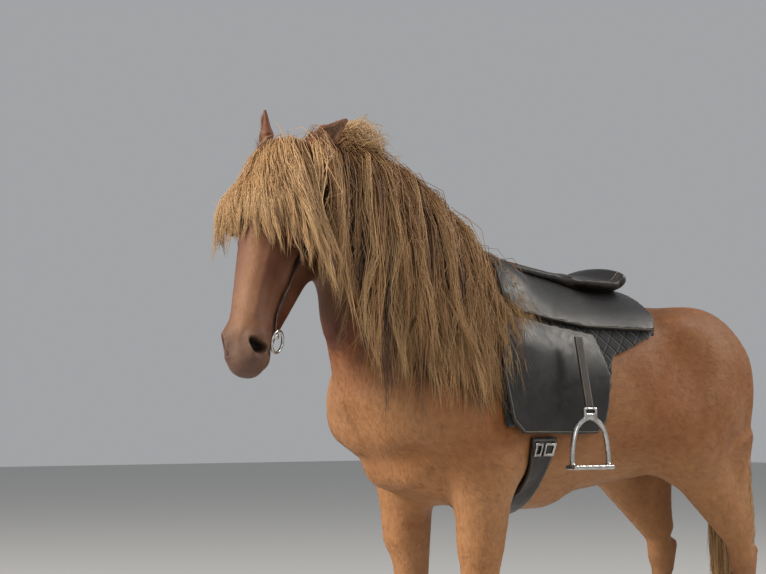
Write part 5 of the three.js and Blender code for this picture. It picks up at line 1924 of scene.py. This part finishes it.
@dataclass
class Coat:
    """The short hair: small solid tufts all over the skin."""

    finishes: Finishes
    skin: Piece
    seed: int = 5
    pieces: int = 3
    tufts: int = 36000

    def flow(self, p: Array, n: Array) -> Array:
        """The way that the hair lies at each point."""
        q = HEAD.local(p)
        way = np.repeat(vec(-1.0, 0, -0.42)[None], len(p), 0)
        way[p[:, 2] < 760] = (-0.18, 0, -1.0)
        neck = (p[:, 0] > 520) & (p[:, 2] > 1100)
        way[neck] = (-0.55, 0.1, -0.85)
        front = (p[:, 0] > 600) & (p[:, 2] <= 1100)
        way[front] = (0.1, 0, -1.0)
        head = (p[:, 0] > 800) & (q[:, 0] > -10)
        way[head] = HEAD.way(vec(1.0, 0, -0.25))
        way[(p[:, 0] < -560) & (p[:, 2] > 700)] = (-0.35, 0, -1.0)
        way = way - n * np.sum(way * n, 1)[:, None]
        return unit(way)

    def covered(self, p: Array) -> Array:
        """Which points lie under the saddle, the pad or the girth."""
        hem = np.interp(p[:, 0], [-160, -140, 30, 90, 440], [1206, 1196, 1136, 950, 950])
        pad = (p[:, 0] > -172) & (p[:, 0] < np.interp(p[:, 2], [950, 1180, 1400], [434, 436, 396])) & (p[:, 2] > hem)
        girth = (p[:, 0] > 240) & (p[:, 0] < 332) & (p[:, 2] < 960) & (p[:, 2] > 712) & (np.abs(p[:, 1]) < 230)
        return pad | girth

    def build(self) -> None:
        """Scatters tufts over the skin by area and lays them along the flow."""
        rng = np.random.default_rng(self.seed)
        mesh = self.skin.data
        mesh.calc_loop_triangles()
        tri = np.zeros(len(mesh.loop_triangles) * 3, np.int32)
        mesh.loop_triangles.foreach_get("vertices", tri)
        tri = tri.reshape(-1, 3)
        v = to_drawing(vertices_of(self.skin))
        normal = normals_of(self.skin)
        a, b, c = v[tri[:, 0]], v[tri[:, 1]], v[tri[:, 2]]
        middle = (a + b + c) / 3
        q = HEAD.local(middle)
        area = np.linalg.norm(np.cross(b - a, c - a), axis=1) / 2
        area = area * np.where((middle[:, 0] > 800) & (q[:, 0] > 0), 2.2, 1.0)  # finer on the head
        area = area * np.where(middle[:, 2] < 700, 1.5, 1.0)  # and on the legs
        by_nostril = np.linalg.norm((q - vec(508, 0, -78)) * [1, 0, 1], axis=1) < 26
        inside = (q[:, 0] > 480) & by_nostril & (np.abs(q[:, 1]) < 48)
        area[self.covered(middle) | inside] = 0
        for side in Side:
            area[np.linalg.norm(q - on_side([EYE_AT], side.value)[0], axis=1) < 24] = 0
        chance = area / area.sum()
        for piece in range(self.pieces):
            pick = rng.choice(len(tri), self.tufts, p=chance)
            w = rng.dirichlet((1, 1, 1), self.tufts)
            p = np.einsum("nk,nkx->nx", w, v[tri[pick]])
            n = unit(np.einsum("nk,nkx->nx", w, normal[tri[pick]]))
            self.tuft_mesh(f"coat_{piece + 1}", p, n, rng)

    def tuft_mesh(self, name: str, p: Array, n: Array, rng: np.random.Generator) -> None:
        """Makes one mesh of tufts, four faces each.

        Args:
            name: the piece's name.
            p: where each tuft grows.
            n: the skin's normal there.
            rng: the coat's random draws.
        """
        q = HEAD.local(p)
        way = self.flow(p, n)
        across = np.cross(n, way)
        way = unit(way + across * rng.normal(0, 0.16, len(p))[:, None])
        across = np.cross(n, way)
        on_head = (p[:, 0] > 800) & (q[:, 0] > -10)
        long = np.where(on_head, 6.0, np.where(p[:, 2] < 700, 9.0, 14.0))
        long = np.where((q[:, 0] > 440) & on_head, 3.0, long) * rng.uniform(0.7, 1.25, len(p))
        lift = np.clip(rng.uniform(0.02, 0.1, len(p)) * long, 0.25, 1.3)
        wide = np.where(on_head, 0.38, 0.6)[:, None] * rng.uniform(0.7, 1.3, len(p))[:, None]
        base = p - n * 0.6
        points = np.stack(
            [
                base + across * wide,
                base - across * wide,
                base + n * wide * 1.2 + way * long[:, None] * 0.1,
                p + way * long[:, None] + n * lift[:, None],
            ],
            1,
        )
        start = (np.arange(len(p)) * 4)[:, None]
        faces = np.stack([start + f for f in ([[0, 1, 2]], [[0, 3, 1]], [[1, 3, 2]], [[2, 3, 0]])], 1).reshape(-1, 3)
        obj = new_mesh(name, to_row(points.reshape(-1, 3)), faces)
        smooth_shaded(obj)
        lying = np.repeat(n, 4, 0) * 0.8 + normals_of(obj) * 0.42
        obj.data.normals_split_custom_set_from_vertices(unit(lying).astype(np.float32))
        colour = COLOURS.at(p) * rng.normal(1.0, 0.09, (len(p), 1)).clip(0.7, 1.35)
        point_colour(obj, "marking", np.repeat(colour, 4, 0))
        uv = skin_map(p)[:, None] + np.array([(0, 0), (0.003, 0), (0.0015, 0.0015), (0.0015, 0.003)])[None]
        root_map(obj, uv)
        finished(obj, self.finishes.get(Finish.COAT), "coat")


# Saddle and bridle


@dataclass
class Layer:
    """A piece that lies on the horse, between two distances from the flesh."""

    node: str
    inner: float
    outer: float
    outline: Outline
    voxel: float
    finish: Finish
    slot: str
    on_head: bool = False
    rounds: int = 4

    def build(self, finishes: Finishes) -> None:
        """Makes the piece from its solid, with smooth faces and rounded edges."""
        obj = copy_of(self.node, self.node + "_piece")
        remeshed(obj, self.voxel)
        p = to_drawing(vertices_of(obj))
        edges = edges_of(obj)
        facing = np.sum(normals_of(obj) * FLESH.outward(p), 1)
        facing = relaxed(facing[:, None].repeat(3, 1), edges, 2)[:, 0]
        level = np.where(facing > 0, self.outer, self.inner)
        smooth = relaxed(p, edges, self.rounds)
        p = np.where((np.abs(facing) > 0.55)[:, None], FLESH.settle(smooth, level, 3), smooth)
        p = relaxed(p, edges, 2)
        set_vertices(obj, to_row(p))
        smooth_shaded(obj)
        self.edge_values(obj, p)
        finished(obj, finishes.get(self.finish), self.slot, self.node)

    def edge_values(self, obj: Piece, p: Array) -> None:
        """Stores how far each vertex is from the outline, and how far along it, for stitching.

        Args:
            obj: the piece.
            p: its vertices, in drawing mm.
        """
        q = HEAD.local(p) if self.on_head else p
        flat = q[:, [0, 2]]
        rim = np.full(len(p), 1e3)
        run = np.zeros(len(p))
        gone = 0.0
        knots = [np.array(k, float) for k in self.outline]
        for a, b in zip(knots, knots[1:] + knots[:1]):
            t = np.clip(((flat - a) @ (b - a)) / ((b - a) @ (b - a)), 0, 1)
            far = np.linalg.norm(flat - a - t[:, None] * (b - a), axis=1)
            near = far < rim
            long = float(np.linalg.norm(b - a))
            run = np.where(near, gone + t * long, run)
            rim = np.minimum(rim, far)
            gone += long
        point_value(obj, "rim", rim / 1000)
        point_value(obj, "run", run / 1000)


def strip(line: Outline, width: float) -> list[tuple[float, float]]:
    """A strap's outline in the side view: a line given a width."""
    points = np.array(line, float)
    way = unit(np.gradient(points, axis=0))
    side = np.stack([-way[:, 1], way[:, 0]], 1) * width / 2
    return [tuple(k) for k in np.concatenate([points + side, (points - side)[::-1]])]


@dataclass
class Saddle:
    """Pad, panels, flaps, seat, girth, buckles and stirrups."""

    finishes: Finishes
    leather_x: float = 204.0
    leather_half: float = 14.0
    leather_edge: float = 0.0015
    buckle_voxel: float = 0.0016
    iron_voxel: float = 0.0022
    seat_voxel: float = 0.0048
    seat_swell: float = 0.003

    def layers(self) -> list[Layer]:
        """The pieces that lie on the horse or on each other."""
        pad = [(396, 1460), (442, 1180), (440, 940), (96, 940), (30, 1130), (-150, 1196), (-178, 1230), (-176, 1460)]
        panel = [(388, 1460), (402, 1280), (372, 1236), (120, 1206), (-130, 1206), (-160, 1250), (-162, 1460)]
        front = [(380, 1228), (434, 1196), (446, 1080), (424, 960), (388, 926)]
        flap = [*front, (110, 926), (84, 960), (70, 1080), (96, 1192)]
        girth = [(234, 708), (338, 708), (338, 920), (234, 920)]
        made = [
            Layer("saddle_pad", 1.0, 12.0, pad, 0.0082, Finish.PAD, "pad_fabric", rounds=6),
            Layer("girth", 1.0, 9.0, girth, 0.0044, Finish.LEATHER, "girth_leather"),
        ]
        dressed = (Finish.LEATHER, "saddle_leather")
        for side in Side:
            made.append(Layer(f"panel_{side.word}", 12.6, 34.0, panel, 0.0062, *dressed, rounds=10))
            made.append(Layer(f"flap_{side.word}", 17.0, 24.0, flap, 0.0052, *dressed))
        return made

    def build(self) -> None:
        """Makes every piece of the saddle."""
        for layer in self.layers():
            layer.build(self.finishes)
        self.seat()
        for side in Side:
            for place in ("front", "back"):
                self.refined(f"buckle_{side.word}_{place}", self.buckle_voxel, Finish.STEEL, "metal", 3)
            self.stirrup(side)

    def seat(self) -> None:
        """The dished seat, from pommel to cantle."""
        shape = Flesh(
            [
                Mass(vec(296, 0, 1384), vec(60, 0, 1350), (26, 26), (62, 112), 40),
                Mass(vec(60, 0, 1350), vec(-96, 0, 1346), (26, 30), (112, 148), 40),
                lump(vec(312, 0, 1386), (36, 74, 30), 30),
                lump(vec(-126, 0, 1364), (34, 146, 42), 40),
            ],
            [lump(vec(84, 0, 1450), (150, 150, 52), 60)],
        )
        obj = copy_of("seat", "seat_piece")
        swollen(obj, self.seat_swell)
        remeshed(obj, self.seat_voxel)
        p = relaxed(to_drawing(vertices_of(obj)), edges_of(obj), 3)
        p = np.where((shape.distance(p) > -4)[:, None], shape.settle(p, 0, 3), p)
        p = relaxed(p, edges_of(obj), 4)
        set_vertices(obj, to_row(p))
        smooth_shaded(obj)
        half = np.interp(p[:, 0], [-150, -96, 60, 296, 340], [150, 148, 112, 62, 50])
        point_value(obj, "rim", np.maximum(half * 0.86 - np.abs(p[:, 1]), 0) / 1000)
        point_value(obj, "run", p[:, 0] / 1000)
        finished(obj, self.finishes.get(Finish.LEATHER), "saddle_leather", "seat")

    def refined(self, node: str, voxel: float, finish: Finish, slot: str, rounds: int) -> None:
        """A small piece made from its solid with its edges rounded.

        Args:
            node: the solid.
            voxel: how fine its mesh is, in metres.
            finish: its finish.
            slot: the record's material slot.
            rounds: how often its edges are evened out.
        """
        obj = copy_of(node, node + "_piece")
        remeshed(obj, voxel)
        set_vertices(obj, relaxed(vertices_of(obj), edges_of(obj), rounds))
        smooth_shaded(obj)
        finished(obj, self.finishes.get(finish), slot, node)

    def stirrup(self, side: Side) -> None:
        """A stirrup iron with its tread, and the leather it hangs on."""
        self.refined(f"stirrup_{side.word}", self.iron_voxel, Finish.STEEL, "metal", 5)
        node = f"stirrup_leather_{side.word}"
        obj = copy_of(node, node + "_piece")
        only(obj)
        bevel = obj.modifiers.new("Edges", "BEVEL")
        bevel.width, bevel.segments = self.leather_edge, 3
        bpy.ops.object.modifier_apply(modifier=bevel.name)
        edit_whole(obj, bpy.ops.mesh.subdivide, number_cuts=5)
        p = to_drawing(vertices_of(obj))
        point_value(obj, "rim", (self.leather_half - np.abs(p[:, 0] - self.leather_x)) / 1000)
        point_value(obj, "run", p[:, 2] / 1000)
        smooth_shaded(obj, 30)
        finished(obj, self.finishes.get(Finish.STRAP), "saddle_leather", node)


@dataclass
class Bridle:
    """Head straps and the bit's rings."""

    finishes: Finishes
    ring_radius: float = 0.0245
    ring_half: float = 0.0034

    def build(self) -> None:
        """Makes the straps from their solids and adds the small metal."""
        cheek = strip([(8, 60), (42, -50), (112, -108), (300, -118), (452, -122)], 18)
        throat = strip([(-4, 60), (28, -60), (98, -180), (196, -350)], 15)
        brow = strip([(64, 60), (92, -30), (122, -124)], 15)
        dressed = (Finish.STRAP, "bridle_leather", True, 3)
        for strap, outline in (("cheekpieces", cheek), ("throatlatch", throat), ("browband", brow)):
            Layer(f"bridle_{strap}", 1.0, 5.0, outline, 0.0025, *dressed).build(self.finishes)
        for side in Side:
            self.ring(side)

    def ring(self, side: Side) -> None:
        """One of the bit's rings."""
        bpy.ops.object.select_all(action="DESELECT")
        bpy.ops.mesh.primitive_torus_add(
            major_radius=self.ring_radius, minor_radius=self.ring_half, major_segments=72, minor_segments=16
        )
        obj = bpy.context.active_object
        obj.name = f"snaffle_ring_{side.word}"
        p = vertices_of(obj) * 1000
        p = np.stack([p[:, 0], p[:, 2], p[:, 1]], 1)
        turn = -side.value * 0.18
        p = p @ np.array([[math.cos(turn), math.sin(turn), 0], [-math.sin(turn), math.cos(turn), 0], [0, 0, 1]])
        bar = self.mouthpiece(side)
        p = np.concatenate([HEAD.place(p + vec(456, 45.5 * side.value, -136)), vertices_of(bar)])
        obj = joined([obj, bar])
        set_vertices(obj, to_row(p))
        edit_whole(obj, bpy.ops.mesh.normals_make_consistent, inside=False)
        smooth_shaded(obj)
        finished(obj, self.finishes.get(Finish.STEEL), "metal", f"bit_ring_{side.word}")

    @staticmethod
    def mouthpiece(side: Side) -> Piece:
        """The end of the bit, from the mouth's corner out to its ring, in drawing mm."""
        bpy.ops.object.select_all(action="DESELECT")
        bpy.ops.mesh.primitive_cylinder_add(vertices=24, radius=5.0, depth=30.0)
        bar = bpy.context.active_object
        p = vertices_of(bar)
        flare = 1 + 0.35 * smoothstep(6, 15, p[:, 2] * side.value)
        p = np.stack([p[:, 0] * flare, p[:, 2], p[:, 1] * flare], 1)
        set_vertices(bar, HEAD.place(p + vec(447, 34 * side.value, -127)))
        return bar


# Studio


@dataclass
class Studio:
    """Floor, lights and the camera at the photograph's angle."""

    finishes: Finishes
    target: Point = (0.63 - 0.162, 0.0, 1.30)
    azimuth: float = 52.4
    elevation: float = -6.8
    distance: float = 3.1
    focal_pixels: float = 1216.0
    image_width: float = 766.0

    def build(self) -> None:
        """Sets everything up."""
        self.floor()
        self.lights()
        self.camera()

    def floor(self) -> None:
        """A wide pale floor."""
        bpy.ops.mesh.primitive_plane_add(size=60, location=(0, 0, 0))
        floor = bpy.context.active_object
        floor.name = "floor"
        floor.data.materials.append(self.finishes.get(Finish.FLOOR))

    def lights(self) -> None:
        """A soft key from the front left, a fill and a light from behind, under a pale sky."""
        for name, at, size, power in (
            ("key", (7.5, -2.0, 5.0), 2.4, 900.0),
            ("fill", (2.0, 8.0, 4.0), 4.0, 130.0),
            ("back", (-6.0, 3.5, 6.0), 3.0, 330.0),
        ):
            data = bpy.data.lights.new(name, "AREA")
            data.energy = power
            data.size = size
            data.color = (1.0, 0.95, 0.88)
            light = bpy.data.objects.new(name, data)
            light.location = at
            aim = Vector((0.2, 0, 1.0)) - Vector(at)
            light.rotation_euler = aim.to_track_quat("-Z", "Y").to_euler()
            bpy.context.scene.collection.objects.link(light)
        world = bpy.data.worlds.new("pale studio")
        world.use_nodes = True
        world.node_tree.nodes["Background"].inputs["Color"].default_value = (0.9, 0.92, 0.95, 1)
        world.node_tree.nodes["Background"].inputs["Strength"].default_value = 0.4
        bpy.context.scene.world = world
        bpy.context.scene.view_settings.view_transform = "Standard"

    def camera(self) -> None:
        """The camera that took the photograph, as worked out from it."""
        a, e = math.radians(self.azimuth), math.radians(self.elevation)
        back = Vector((math.cos(a) * math.cos(e), math.sin(a) * math.cos(e), math.sin(e)))
        data = bpy.data.cameras.new("camera")
        data.sensor_width = 36.0
        data.lens = self.focal_pixels / self.image_width * 36.0
        camera = bpy.data.objects.new("camera", data)
        camera.location = Vector(self.target) + back * self.distance
        camera.rotation_euler = (-back).to_track_quat("-Z", "Y").to_euler()
        bpy.context.scene.collection.objects.link(camera)
        bpy.context.scene.camera = camera


def main() -> None:
    """Builds the model's looks piece by piece."""
    logging.basicConfig(level=logging.INFO, format="%(message)s")
    finishes = Finishes()
    Studio(finishes).build()
    skin = Skin(finishes).build()
    Ears(finishes).build()
    Eyes(finishes).build()
    Hooves(finishes).build()
    Saddle(finishes).build()
    Bridle(finishes).build()
    hair = LongHair(finishes)
    hair.mane()
    hair.forelock()
    hair.poll_tuft()
    hair.tail()
    hair.feather()
    Coat(finishes, skin).build()


if __name__ == "__main__":
    main()
